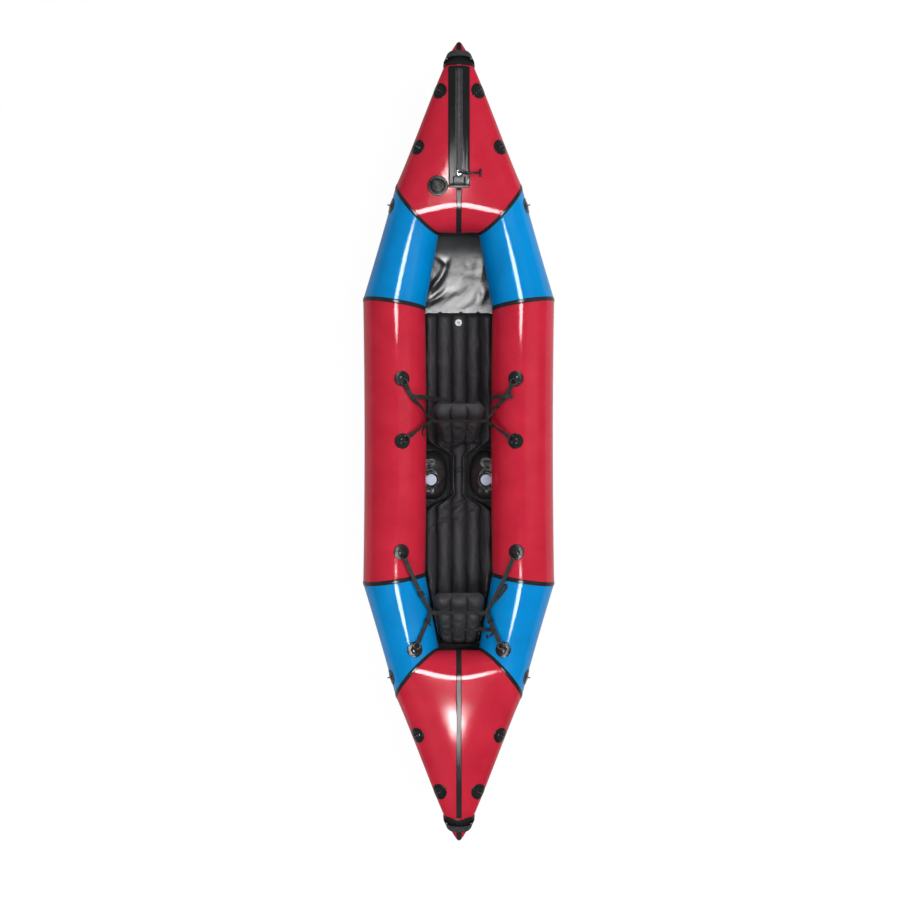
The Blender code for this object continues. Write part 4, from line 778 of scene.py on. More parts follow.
def back_frame(where):
    """The hinge line's middle, the way up the cushion and the way out of its back."""
    y, z, lean = BACKS[where]
    angle = radians(lean)
    return at(0, y, z), at(0, sin(angle), cos(angle)), at(0, -cos(angle), sin(angle))


def back_edge(height):
    wide = BACK_BASE_HALF + (BACK_TOP_HALF - BACK_BASE_HALF) * height / BACK_HEIGHT
    return wide - BACK_ROUNDING * (1 - crown(min(height, BACK_HEIGHT - height), BACK_ROUNDING))


for where_at in BACKS:
    hinge, up, out = back_frame(where_at)

    def back_place(across, along, side):
        height = BACK_HEIGHT * (along - 0.02 * sin(TURN * along))
        share, roundness = across_chambers(across, BACK_CHAMBERS)
        edge = back_edge(height)
        x = (2 * share - 1) * edge
        inside = min(edge - abs(x), height, BACK_HEIGHT - height)
        pressed = 1 - BACK_CREASE * (1 - ease((abs(height - BELT_HEIGHT) - BACK_CREASE_HALF_WIDTH) / 0.03))
        swell = (BACK_THICKNESS / 2 - 0.001) * crown(inside - BACK_FLANGE, BACK_THICKNESS / 2) * pressed
        swell *= (1 - BACK_CHANNEL * (1 - roundness)) * (1 + 0.05 * noise.noise(at(x * 14, height * 14, side * 5)))
        swell = min(swell, BACK_THICKNESS / 2 * pressed - 0.0006)
        return hinge + up * height + at(x, 0, 0) + out * side * (parting(inside) + swell)

    def back_welded(place):
        height, depth = (place - hinge).dot(up), (place - hinge).dot(out)
        edge = back_edge(min(BACK_HEIGHT, max(0.0, height)))
        return (min(edge - abs(place.x), height, BACK_HEIGHT - height) < BACK_FLANGE
                or on_weld((place.x / edge + 1) / 2, BACK_CHAMBERS)
                or depth > 0 and abs(height - BELT_HEIGHT) < BACK_CREASE_HALF_WIDTH)

    cushion(f"{where_at}_backrest_skin", BACK_CHAMBERS * 12, 44, back_place, back_welded,
            (2 * BACK_TOP_HALF, BACK_HEIGHT), 0.03, mat_cloth, f"{where_at}_backrest", f"{where_at}_rest")

# Patches. Round black discs welded to the tube wherever something is tied to it. The eight seat
# anchors carry a moulded dome with a ring under its edge, the twelve tie-downs a loop of cord.
PATCH_RADIUS, PATCH_LIFT, PATCH_WALL = 0.036, 0.0029, 0.0018
DOME_RADIUS, DOME_HEIGHT = 0.018, 0.007
RING_RADIUS, RING_WIRE, RING_TILT = 0.0145, 0.0024, radians(12)
LOOP_RADIUS, LOOP_WIRE, LOOP_RISE = 0.013, 0.0026, 0.0008
ANCHOR_TURN, REAR_STAY_SPOT = radians(105), ("shoulder", 0.815, radians(108), 1, -1)
TIE_DOWNS = ("nose", 0.63, 30), ("nose", 0.31, 38), ("shoulder", 0.842, 26)
DOME = ((0, -0.002), (DOME_RADIUS, -0.002), (DOME_RADIUS, 0.0008), (DOME_RADIUS - 0.0008, 0.0022),
        (0.0150, 0.0046), (0.0110, 0.0061), (0.0090, 0.0064), (0.0084, 0.0058), (0.0052, 0.0058),
        (0.0046, 0.0066), (0, DOME_HEIGHT))
KEEPER = (0, -0.002), (0.0185, -0.002), (0.0185, 0.0006), (0.0176, 0.0014), (0.0080, 0.0020), (0, 0.0021)
patch_cloth = coated_cloth("patch_cloth", (0.009, 0.009, 0.010), (0.014, 0.014, 0.015), 0.20, 0.0012, 0.00006,
                           shine=0.45, wrinkle=0.0006)
cord_black = coated_cloth("cord_black", (0.014, 0.014, 0.015), (0.030, 0.030, 0.032), 0.30, 0.0016, 0.0002,
                          shine=0.9)


def patch(name, place, replaces, radius=PATCH_RADIUS, finish=patch_cloth):
    """A round patch laid on the hull, its welded rim pressed a little flatter than its middle."""
    here, outward, along, around = place

    def on_skin(turn, reach):
        way = along * cos(TURN * turn) + around * sin(TURN * turn)
        pressed = 0.0008 * ease((reach - 0.93) / 0.07) + 0.0003 * exp(-((reach - 0.84) / 0.03) ** 2)
        return laid(here + way * radius * reach + outward * 0.06, -outward, PATCH_LIFT - pressed)

    made_up(name, bent_grid(48, 16, on_skin), finish, replaces, wall=PATCH_WALL)


def stood(shape, middle, along, across, upward):
    """A piece modelled round the origin, set at its place: its x, y and z along the three ways given."""
    turn = Matrix((along, across, upward)).transposed().to_4x4()
    ops.transform(shape, matrix=Matrix.Translation(middle) @ turn, verts=shape.verts)
    ops.recalc_face_normals(shape, faces=shape.faces)
    return shape


def hoop(radius, gauge, share=1, steps=40):
    """A ring of round wire about the upright, or a part of one with its ends closed."""
    ring = bmesh.new()
    ops.create_circle(ring, segments=12, radius=gauge,
                      matrix=Matrix.Translation((radius, 0, 0)) @ Matrix.Rotation(pi / 2, 4, "X"))
    ops.spin(ring, geom=ring.verts[:] + ring.edges[:], angle=TURN * share, steps=steps, axis=(0, 0, 1),
             cent=(0, 0, 0), use_merge=share == 1)
    if share < 1:
        ops.holes_fill(ring, edges=[edge for edge in ring.edges if edge.is_boundary])
    ops.recalc_face_normals(ring, faces=ring.faces)
    return ring


def pulled(place, target):
    """The middle of an anchor's ring and the tilted way that a strap to the target pulls it."""
    here, outward = place[:2]
    way = at(target.x - here.x, target.y - here.y, 0)
    way = (way - outward * way.dot(outward)).normalized()
    pull = way * cos(RING_TILT) + outward * sin(RING_TILT)
    return here + outward * (DOME_HEIGHT - 0.0005) + pull * DOME_RADIUS, pull


def patched(name, place, fitting, outline, sides):
    """A patch with a moulded fitting turned to an outline on it."""
    here, outward, along, around = place
    patch(f"{name}_patch", place, name)
    fitted = stood(turned(outline, sides), here + outward * PATCH_LIFT, along, around, outward)
    made_up(f"{name}_{fitting}", fitted, glossy_plastic, smooth=35)


def seat_anchor(name, place, target):
    patched(name, place, "dome", DOME, 40)
    middle, pull = pulled(place, target)
    flat = pull.cross(place[1]).normalized()
    ring = stood(hoop(RING_RADIUS, RING_WIRE), middle, pull, flat, pull.cross(flat))
    made_up(f"{name}_ring", ring, glossy_plastic)


for side, board in BOARDS:
    for end, where_at in ENDS:
        for number, (panel, share, degrees) in enumerate(TIE_DOWNS, 1):
            name = f"{board}_{where_at}_tie_down_{number}"
            place = here, outward, along, around = spot(panel, share, radians(degrees), side, end)
            patched(name, place, "keeper", KEEPER, 36)
            loop = stood(hoop(LOOP_RADIUS, LOOP_WIRE, 0.5, 24), here + outward * (PATCH_LIFT + LOOP_RISE), around,
                         outward, along)
            made_up(f"{name}_loop", loop, cord_black)

# The seat webbing. Woven black nylon, 20 mm wide: a belt round the back of each backrest, and two stays
# that hold the belt's corners down. Every strap is looped through its anchor's ring and sewn to itself,
# and passes a ladder lock, past which its loose tail hangs.
STRAP_WIDTH, STRAP_WALL, FOLD_LENGTH, STITCH_SPACING = 0.020, 0.0018, 0.042, 0.004
RING_REACH = 0.014 + 0.003 + 3 * CLEARANCE
BELT_LEADS = {"front": ((0.2080, 121.8, 0.0115), (0.1639, 136.7, 0.0245)), "rear": ((-0.6910, 133.3, 0.0210),)}
BELT_ANCHORS, FRONT_STAY_Y = {"front": 0.292, "rear": -0.516}, 0.001
BELT_HALF_FLAT, BELT_HALF_SPAN, BELT_EDGE_DROP = 0.084, 0.128, 0.004
BELT_BLENDS = {"front": ("front", ((0, 0.28, 0), (0, 0.12, 0))), "rear": ("rear", ((0, -0.54, 0), (0, -0.77, 0)))}
STAY_BLENDS = {"front": ("front", ((0, 0.02, 0), (0, 0.09, 0))), "rear": ("rear", ((0, -0.95, 0), (0, -0.81, 0)))}
BELT_STEPS, STAY_STEPS = 96, 48
BELT_BUCKLES, STAY_LOCK_STEP = {"front": (32, 1), "rear": (24, -1)}, 34
BUCKLE_SIZE, STAY_LOCK_SIZE = (0.0155, 0.0110), (0.0145, 0.0090)
LOCK_RAIL, LOCK_WALL, LOCK_ARCH = 0.0045, 0.0026, 0.0024
STITCH_LENGTH, STITCH_WIDTH, STITCH_HEIGHT = 0.0024, 0.0007, 0.0006
TAIL_STEPS, CURL_WIDTH = 40, 0.014


def webbing(name, colour, dusty, pitch=0.0016):
    """Woven webbing: ribs straight across it and dust in the weave, all on its own map."""
    made, tree, where, place = finish_of(name)
    ribs, cords = (calc(tree, "SINE", calc(tree, "MULTIPLY", node(tree, "SeparateXYZ", {0: where["UV"]}, axis),
                                           TURN / wave)) for axis, wave in (("Y", pitch), ("X", pitch * 1.25)))
    woven = calc(tree, "MULTIPLY", ribs, cords)
    shade = calc(tree, "MULTIPLY_ADD", woven, 0.35, mottled(tree, place, 30.0, -0.25, 0.45), use_clamp=True)
    return finished(made, shade, colour, dusty, mottled(tree, place, 80.0, 0.55, 0.80),
                    bump(tree, woven, 0.0003, 0.7), {"Sheen Weight": 0.08, "Sheen Roughness": 0.4})


strap_black = webbing("strap_black", (0.013, 0.013, 0.013), (0.034, 0.034, 0.033))
thread_grey = moulded("thread_grey", (0.10, 0.10, 0.105), 0.6, dust=0.0)


def curve_through(points, steps):
    """Evenly counted places on a smooth curve through the points."""
    ends = [points[0] * 2 - points[1]] + list(points) + [points[-1] * 2 - points[-2]]
    path = []
    for step in range(steps + 1):
        place = step * (len(points) - 1) / steps
        i = min(int(place), len(points) - 2)
        t = place - i
        a, b, c, d = ends[i:i + 4]
        bend = (a * 2 - b * 5 + c * 4 - d) * t**2 + (b * 3 - a - c * 3 + d) * t**3
        path.append((b * 2 + (c - a) * t + bend) / 2)
    return path


def facing_of(path, across, i):
    """The ways along a strap and across it at one of its places."""
    ahead = (path[min(i + 1, len(path) - 1)] - path[max(i - 1, 0)]).normalized()
    return ahead, (across[i] - ahead * across[i].dot(ahead)).normalized()


def ribbon(path, across, width=STRAP_WIDTH):
    """Webbing along a path, as wide as asked."""
    def place(side, along):
        i = round(along * (len(path) - 1))
        return path[i] + facing_of(path, across, i)[1] * (side - 0.5) * width

    return bent_grid(4, len(path) - 1, place, width, sum((b - a).length for a, b in zip(path, path[1:])))


def strap(name, run, blend, replaces=None, width=STRAP_WIDTH):
    """A finished strap: its run is a path and the ways across it."""
    made_up(name, ribbon(*run, width), strap_black, replaces, blend=blend, wall=STRAP_WALL, offset=0,
            edges=STRAP_WALL * 0.3, segments=2)


def looped_on(place, target, path, across):
    """A strap's run with its end led round its anchor's ring and laid back under itself."""
    middle, pull = pulled(place, target)
    over = (place[1] - pull * place[1].dot(pull)).normalized()
    reach = RING_WIRE + STRAP_WALL / 2 + 0.0002
    top, travelled, under = [], 0.0, []
    for i, point in enumerate(path):
        travelled += (point - path[i - 1]).length if i else 0.0
        near = 1 - ease(travelled / 0.024)
        top.append(point + over * reach * near)
        if travelled < FOLD_LENGTH:
            under.insert(0, point - over * (reach * near + (STRAP_WALL + 0.0003) * (1 - near)))
    angles = [-pi / 2 - pi * step / 12 for step in range(1, 12)]
    turn = [middle + pull * (RING_RADIUS + cos(angle) * reach) + over * sin(angle) * reach for angle in angles]
    return under + turn + top, across[len(under) - 1::-1] + [across[0]] * len(turn) + across


def belt_bends(where):
    """Places on the starboard half of a belt behind its backrest: round its edge, then flat in the crease."""
    hinge, up, out = back_frame(where)
    level, stand = hinge + up * BELT_HEIGHT, BACK_THICKNESS / 2 * (1 - BACK_CREASE) + 0.001 + 2 * CLEARANCE
    return [level + out * (stand - BELT_EDGE_DROP) + at(BELT_HALF_SPAN, 0, 0)] + [
        level + out * stand + at(x, 0, 0) for x in (BELT_HALF_FLAT, BELT_HALF_FLAT / 2, 0)]


def strap_line(place, points, width_way, steps):
    """A strap's run from just past its anchor's ring, flat on the tube there and turned to width_way."""
    middle, pull = pulled(place, points[0])
    path = curve_through([middle + pull * RING_REACH] + points, steps)
    flat = place[1].cross(path[1] - path[0]).normalized()
    if flat.dot(width_way) < 0:
        flat = -flat
    return path, [flat.lerp(width_way.normalized(), ease(2.4 * i / steps)) for i in range(steps + 1)]


def ladder_lock(name, run, i, size, blend, replaces=None):
    """An adjuster on a strap, its edges rounded: bars under the strap at its ends and one over its middle."""
    (path, across), (half_width, half_length) = run, size
    ahead, wide = facing_of(path, across, i)
    rail = half_width - LOCK_RAIL
    xs = -half_width, -rail, rail, half_width
    ys = [half_length * share for share in (-1, -0.62, -0.22, 0.22, 0.62, 1)]
    plate = bmesh.new()
    ops.create_grid(plate, x_segments=3, y_segments=5, size=0.5)
    middles = [(face, face.calc_center_median()) for face in plate.faces]
    ops.delete(plate, geom=[face for face, middle in middles if abs(middle.x) < 0.1 and 0.1 < abs(middle.y) < 0.3],
               context="FACES")
    for point in plate.verts:
        y = ys[round((point.co.y + 0.5) * 5)]
        rise = LOCK_ARCH if abs(y) < half_length / 2 else -LOCK_ARCH
        point.co = at(xs[round((point.co.x + 0.5) * 3)], y, rise - LOCK_WALL / 2)
    raised = ops.extrude_face_region(plate, geom=plate.faces[:])
    ops.translate(plate, vec=(0, 0, LOCK_WALL), verts=[item for item in raised["geom"]
                                                   if isinstance(item, bmesh.types.BMVert)])
    made_up(name, stood(plate, path[i], wide, ahead, wide.cross(ahead)), black_plastic, replaces, edges=0.0007,
            blend=blend)


def sewn(name, run, first, blend, half_width=0.0065, lift=0.0012, sides=(1, -1)):
    """Two rows of thread along a strap and a row across each end of them, standing just proud of its faces."""
    path, across = run
    rows, last = bmesh.new(), first + 4
    for i in range(first, last + 1):
        ahead, wide = facing_of(path, across, i)
        face = wide.cross(ahead)
        for shift in (-1, -0.5, 0, 0.5, 1) if i in (first, last) else (-1, 1):
            way, other = (wide, ahead) if abs(shift) < 1 else (ahead, wide)
            turn = Matrix((way * STITCH_LENGTH, other * STITCH_WIDTH, face * STITCH_HEIGHT)).transposed().to_4x4()
            for side in sides:
                place = path[i] + wide * shift * half_width + face * side * lift
                ops.create_uvsphere(rows, u_segments=6, v_segments=4, radius=0.5,
                                    matrix=Matrix.Translation(place) @ turn)
    ops.recalc_face_normals(rows, faces=rows.faces)
    made_up(name, rows, thread_grey, blend=blend)


def even(path, across, spacing=STITCH_SPACING):
    """The same run with its places evenly spaced."""
    lengths = [0.0]
    for a, b in zip(path, path[1:]):
        lengths.append(lengths[-1] + (b - a).length)
    count, i = max(2, round(lengths[-1] / spacing)), 0
    line, wides = [], []
    for step in range(count + 1):
        wanted = lengths[-1] * step / count
        while i < len(path) - 2 and lengths[i + 1] < wanted:
            i += 1
        share = (wanted - lengths[i]) / max(lengths[i + 1] - lengths[i], 0.000001)
        line.append(path[i].lerp(path[i + 1], share))
        wides.append(across[i].lerp(across[i + 1], share))
    return line, wides


def mirrored(run, side):
    return [flipped(points, side) for points in run]


for where_at in BACKS:
    hinge, up, out = back_frame(where_at)
    blend, stay_blend = BELT_BLENDS[where_at], STAY_BLENDS[where_at]
    leads = [spot("side", y / SIDE_SEAM_Y, radians(degrees))[:2] + [off]
             for y, degrees, off in BELT_LEADS[where_at]]
    points = [here + outward * off for here, outward, off in leads] + belt_bends(where_at)
    anchor = spot("side", BELT_ANCHORS[where_at] / SIDE_SEAM_Y, ANCHOR_TURN)
    belt = strap_line(anchor, points, up, BELT_STEPS)
    whole = [half + flipped(reversed(half[:-1]), -1) for half in looped_on(anchor, points[0], *belt)]
    strap(f"{where_at}_belt_webbing", whole, blend, f"{where_at}_belt")
    for side, board in BOARDS:
        sewn(f"{board}_{where_at}_belt_stitching", mirrored(even(*belt), side), 4, blend)
    step, side = BELT_BUCKLES[where_at]
    ladder_lock(f"{where_at}_ladder_lock", mirrored(belt, side), step, BUCKLE_SIZE, blend, f"{where_at}_buckle")

    place = spot("side", FRONT_STAY_Y / SIDE_SEAM_Y, ANCHOR_TURN) if where_at == "front" else spot(*REAR_STAY_SPOT)
    edge, flat = belt_bends(where_at)[:2]
    target = edge + out * (0.002 + 6 * CLEARANCE)
    middle, pull = pulled(place, target)
    bend = (middle + pull * RING_REACH).lerp(target, 0.5)
    path, across = strap_line(place, [bend, target], (target - bend).cross(out), STAY_STEPS)
    overlap = target + (flat + out * 0.0026 - target) * 0.55
    path += [target.lerp(overlap, step / 6) for step in range(1, 7)]
    across += [across[-1].lerp(up, step / 6) for step in range(1, 7)]
    line = even(path, across)
    for side, board in BOARDS:
        name = f"{board}_{where_at}"
        strap(f"{name}_stay_webbing", mirrored(looped_on(place, bend, path, across), side), stay_blend,
              f"{name}_stay")
        sewn(f"{name}_stay_stitching", mirrored(line, side), 4, stay_blend)
        sewn(f"{name}_corner_stitching", mirrored(line, side), len(line[0]) - 6, stay_blend, sides=(1,))
        ladder_lock(f"{name}_stay_lock", mirrored((path, across), side), STAY_LOCK_STEP, STAY_LOCK_SIZE,
                    stay_blend)
        number = 2 if where_at == "front" else 4
        for number, spot_here, aim in (number, place, bend), (number - 1, anchor, points[0]):
            seat_anchor(f"{board}_seat_anchor_{number}", flipped(spot_here, side), flipped([aim], side)[0])


# Loose webbing. The free ends of the seat straps past their locks: two fall inboard from the front belt
# towards the mat, one is folded into a loop on the starboard quarter, one lies across the rear backrest,
# and three curl up where a stay is drawn short. Each: its places, the ways across it at its start and its
# end, its blend and its width.
def resting(x, y, lift):
    """A place just over the hull, straight below (x, y)."""
    return laid(at(x, y, 1), DOWN, lift)


TAILS = {
    "port_front_tail": (((-0.2165, 0.208, 0.288), (-0.205, 0.2075, 0.2905), (-0.18, 0.206, 0.278),
                         (-0.15, 0.205, 0.23), (-0.12, 0.204, 0.15), (-0.096, 0.202, 0.086), (-0.07, 0.2, 0.0635),
                         (-0.052, 0.196, 0.06)), (0.1, 1, 0), (0, 1, 0), BELT_BLENDS["front"], STRAP_WIDTH),
    "starboard_front_tail": (((0.25, 0.206, 0.301), (0.232, 0.2075, 0.299), (0.206, 0.208, 0.296),
                              (0.182, 0.207, 0.274), (0.163, 0.205, 0.238), (0.155, 0.201, 0.205)),
                             (0, 1, 0), (0, 1, 0.1), BELT_BLENDS["front"], STRAP_WIDTH),
    "starboard_rear_loop": (((0.17, -0.723, 0.26), resting(0.181, -0.706, 0.012), resting(0.194, -0.686, 0.006),
                             resting(0.207, -0.67, 0.004), resting(0.2175, -0.668, 0.005),
                             resting(0.219, -0.68, 0.004), resting(0.205, -0.698, 0.004),
                             resting(0.188, -0.722, 0.006), (0.1705, -0.742, 0.247), (0.163, -0.75, 0.2455)),
                            (0.8, 0.6, 0.3), (0.7, 0.6, 0.4), BELT_BLENDS["rear"], CURL_WIDTH),
    "rear_pad_tail": (((0.164, -0.874, 0.272), (0.15, -0.876, 0.26), (0.128, -0.879, 0.233),
                       (0.105, -0.881, 0.208), (0.08, -0.883, 0.192), (0.0565, -0.8835, 0.196),
                       (0.02, -0.883, 0.1935), (-0.02, -0.8835, 0.193), (-0.06, -0.885, 0.197),
                       (-0.086, -0.886, 0.188)),
                      (0, 1, -0.35), (0, 0.5, -1), ("rear", ((0.15, 0, 0), (0.095, 0, 0))), 0.018),
    "port_front_curl": (((-0.156, 0.079, 0.266), resting(-0.163, 0.066, 0.016), resting(-0.17, 0.05, 0.005),
                         resting(-0.172, 0.036, 0.004), resting(-0.165, 0.027, 0.004),
                         resting(-0.157, 0.032, 0.005)),
                        (1, 0.2, 0.6), (1, 0.4, 0.8), STAY_BLENDS["front"], CURL_WIDTH),
    "port_rear_curl": (((-0.138, -0.83, 0.25), resting(-0.14, -0.843, 0.01), resting(-0.137, -0.857, 0.004),
                        resting(-0.131, -0.864, 0.004)),
                       (1, -0.3, 0.6), (1, 0.2, 0.9), STAY_BLENDS["rear"], CURL_WIDTH),
    "starboard_rear_curl": (((0.16, -0.88, 0.272), resting(0.153, -0.893, 0.008), resting(0.142, -0.905, 0.005),
                             resting(0.133, -0.912, 0.004), resting(0.128, -0.904, 0.004)),
                            (0.6, 0.6, 0.6), (0.6, 0.6, 0.9), STAY_BLENDS["rear"], CURL_WIDTH)}
for name, (points, *ways, blend, width) in TAILS.items():
    first, last = (Vector(way).normalized() for way in ways)
    path = curve_through([Vector(point) for point in points], TAIL_STEPS)
    across = [first.lerp(last, ease(i / TAIL_STEPS)) for i in range(TAIL_STEPS + 1)]
    strap(name, (path, across), blend, width=width)

# Main valve. A black moulded inflation valve on the port side of the bow deck: a flange welded flat to
# the deck, a raised rim, and a broad screw cap with rings round its top.
VALVE_PLACE, VALVE_FLANGE_RADIUS = (-0.0970, 1.172), 0.047
RIM, RIM_WALL, VALVE_RISE, VALVE_BOTTOM = 0.032, 0.0035, 0.010, 0.0035
valve_home, inner = resting(*VALVE_PLACE, 0.0), RIM - RIM_WALL
patch("main_valve_flange", (valve_home, UP, FORWARD, OUTBOARD), "main_valve_base", VALVE_FLANGE_RADIUS,
      black_plastic)
rim = turned([(0, -0.004), (RIM + 0.0050, -0.004), (RIM + 0.0050, 0.0030), (RIM + 0.0042, 0.0036),
              (RIM + 0.0012, 0.0042), (RIM, 0.0056), (RIM, VALVE_RISE - 0.0016),
              (RIM - 0.0004, VALVE_RISE - 0.0006), (RIM - 0.0013, VALVE_RISE), (inner + 0.0006, VALVE_RISE),
              (inner, VALVE_RISE - 0.0006), (inner, VALVE_BOTTOM), (0.0062, VALVE_BOTTOM),
              (0.0058, VALVE_BOTTOM + SPIGOT), (0, VALVE_BOTTOM + SPIGOT)], 96)
made_up("main_valve_rim", set_at(rim, valve_home), black_plastic, smooth=35)
cap = screw_cap(inner - CLEARANCE, 0.0095, 24, (0.66, 0.52, 0.38, 0.22))
made_up("main_valve_top", set_at(cap, valve_home + UP * (VALVE_BOTTOM + CLEARANCE)), black_plastic,
        "main_valve_cap", "main_cap", smooth=35)

# Cargo zipper. A long watertight zipper down the bow deck that gives access to the inside of the tube.
# Its broad rubbery backing is welded to the deck, its chain stands up between fine lengthwise ribs, and a
# moulded dock across its cockpit end seals the slider, which has a T-shaped pull.
ZIP_START_Y, ZIP_END_Y, ZIP_HALF_WIDTH, ZIP_BAND_END_Y = 1.163, 1.716, 0.049, 1.179
BACKING_LIFT, BACKING_WALL, BACKING_CORNER, BACKING_SMOOTHED = 0.0021, 0.0012, 0.008, 60
BACKING_LINES = 0.008, 0.012, 0.022, 0.026
CHAIN_HALF_WIDTH, CHAIN_BASE, CHAIN_SUNK = 0.017, 0.0016, 0.0012
RIDGE_HALF_WIDTH, RIDGE_HEIGHT, TOOTH_PITCH = 0.006, 0.0056, 0.0026
DOCK_START_Y, DOCK_LENGTH, DOCK_HALF_WIDTH, DOCK_HEIGHT = 1.181, 0.032, 0.028, 0.009
DOCK_END_Y, STOP_Y = DOCK_START_Y + DOCK_LENGTH, 1.699
DOCK_TAB_START_Y, DOCK_TAB_LENGTH, DOCK_TAB_X, DOCK_TAB_WIDTH = 1.176, 0.046, 0.0315, 0.015
SLIDER_LENGTH, SLIDER_HALF_WIDTH, SLIDER_HEIGHT, SLIDER_BACK_ROUNDING = 0.030, 0.0125, 0.012, 0.0045
PULL_LENGTH, PULL_HALF_WIDTH, PULL_HALF_THICK = 0.100, 0.0060, 0.0022
PULL_BAR_HALF, PULL_BAR_WIDTH, PULL_PIN, PULL_DROOP = 0.0195, 0.010, 0.0018, radians(9)
PULL_EYE, EYE_WIRE = PULL_PIN + 0.0034, 0.0014
zip_cloth = coated_cloth("zip_cloth", (0.010, 0.010, 0.011), (0.016, 0.016, 0.017), 0.13, 0.0010, 0.00003,
                         shine=0.32)
zip_rubber = moulded("zip_rubber", (0.034, 0.034, 0.036), 0.30, grain=0.00008, dust=0.3)
deck_ahead, deck_up = at(0, 1, DECK_SLOPE).normalized(), at(0, -DECK_SLOPE, 1).normalized()


def backing_place(across, along):
    x, y = (2 * across - 1) * ZIP_HALF_WIDTH, ZIP_START_Y + (ZIP_END_Y - ZIP_START_Y) * along
    from_end = min(y - ZIP_START_Y, ZIP_END_Y - y)
    x *= 1 - BACKING_CORNER / ZIP_HALF_WIDTH * (1 - crown(from_end, BACKING_CORNER))
    return resting(x, y, BACKING_LIFT)


def over_backing(y, height):
    return deck_line(y) + 0.0008 + BACKING_WALL + CLEARANCE + height


backing = bent_grid(60, 140, backing_place, 2 * ZIP_HALF_WIDTH, ZIP_END_Y - ZIP_START_Y)
for step in range(BACKING_SMOOTHED):
    ops.smooth_vert(backing, verts=backing.verts, factor=0.5, use_axis_x=False, use_axis_y=False, use_axis_z=True)
for point in backing.verts:
    from_side = ZIP_HALF_WIDTH - abs(point.co.x)
    ribs = sum(exp(-((from_side - line) / 0.0010) ** 2) for line in BACKING_LINES)
    point.co.z += (0.0003 * ribs + 0.0004 * ease((from_side - 0.002) / 0.004)
                   + 0.0012 * ease((ZIP_BAND_END_Y - point.co.y) / 0.002))
made_up("zip_backing_tape", backing, zip_cloth, "zip_backing", wall=BACKING_WALL)


def chain_place(across, along):
    x, y = (2 * across - 1) * CHAIN_HALF_WIDTH, DOCK_END_Y + CLEARANCE + (STOP_Y + 0.004 - DOCK_END_Y) * along
    rib = max(0.0, cos(TURN * (abs(x) - 0.0085) / 0.0028)) * ease((abs(x) - 0.0068) / 0.001)
    return at(x, y, over_backing(y, CHAIN_SUNK + 0.0005 * rib * ease((CHAIN_HALF_WIDTH - abs(x)) / 0.0012)))


def ridge_place(across, along):
    x, y = (2 * across - 1) * RIDGE_HALF_WIDTH, DOCK_END_Y + CLEARANCE
    y += (STOP_Y - y) * along
    tooth = 0.5 + 0.5 * cos(TURN * (y / TOOTH_PITCH + (0.5 if x > 0 else 0.0)))
    cut = 0.0011 * exp(-(x / 0.0008) ** 2) + 0.0009 * (1 - tooth) * exp(-((abs(x) - 0.0024) / 0.0014) ** 4)
    top = (RIDGE_HEIGHT - CHAIN_SUNK - cut) * crown(RIDGE_HALF_WIDTH - abs(x), 0.0022)
    return at(x, y, over_backing(y, CHAIN_SUNK + top))


made_up("zip_chain_tape", bent_grid(84, 40, chain_place), zip_rubber, "zip_chain", wall=0.0010, smooth=60)
made_up("zip_chain_teeth", bent_grid(24, 1120, ridge_place), zip_rubber, wall=0.0006, smooth=60)


def block(name, y, height, half_x, half_y, tall, cuts, replaces=None, tuck=0.0015):
    """A moulded block on the deck, cut across into bars by grooves: each a place, a width and a depth."""
    shape = bmesh.new()
    ops.create_cube(shape, size=1, matrix=Matrix.Translation((0, 0, tall / 2)) @ Matrix.Diagonal(
        (2 * half_x, 2 * half_y, tall, 1)))
    for place, wide, deep in cuts:
        for shift in (-wide / 2 - 0.0005, -wide / 2, wide / 2, wide / 2 + 0.0005):
            ops.bisect_plane(shape, geom=shape.verts[:] + shape.edges[:] + shape.faces[:],
                             plane_co=(0, place + shift, 0), plane_no=(0, 1, 0), dist=0.00001)
        for point in shape.verts:
            if abs(point.co.y - place) < wide / 2 + 0.0001 and point.co.z > tall / 2:
                point.co.z -= deep
                point.co.x *= 1 - deep * 0.5 / half_x
    for point in shape.verts:
        if point.co.z > tall / 2:
            point.co.x *= 1 - tuck / half_x
            point.co.y -= copysign(tuck * 0.4, point.co.y) if abs(point.co.y) > half_y - 0.0001 else 0
    stood(shape, at(0, y, over_backing(y, height)), OUTBOARD, deck_ahead, deck_up)
    made_up(name, shape, zip_rubber, replaces, smooth=30, edges=0.0007)


block("zip_dock_block", DOCK_START_Y + DOCK_LENGTH / 2, 0, DOCK_HALF_WIDTH, DOCK_LENGTH / 2, DOCK_HEIGHT,
      ((-0.0118, 0.0022, 0.0026), (-0.0040, 0.0030, 0.0036), (0.0038, 0.0022, 0.0020), (0.0110, 0.0020, 0.0020)),
      "zip_dock", 0.006)
block("zip_end_stop", STOP_Y, CHAIN_SUNK, 0.0095, 0.004, 0.0085, ((0.0, 0.0016, 0.0022),))


def dock_tab_place(across, along):
    y = DOCK_TAB_START_Y + DOCK_TAB_LENGTH * along
    lift = 0.0034 + 0.0042 * sin(pi * along) + 0.0020 * ease((along - 0.75) / 0.25)
    return at(DOCK_TAB_X + DOCK_TAB_WIDTH * across + 0.004 * sin(2.2 * along), y, over_backing(y, lift))


made_up("zip_dock_tab", bent_grid(6, 24, dock_tab_place), zip_rubber, wall=0.0011)


def lofted(section, around, along):
    """A closed skin through sections: section takes how far round and how far along, 0 to 1."""
    body = bent_grid(around, along, section)
    ops.holes_fill(body, edges=[edge for edge in body.edges if edge.is_boundary])
    ops.recalc_face_normals(body, faces=body.faces)
    return body


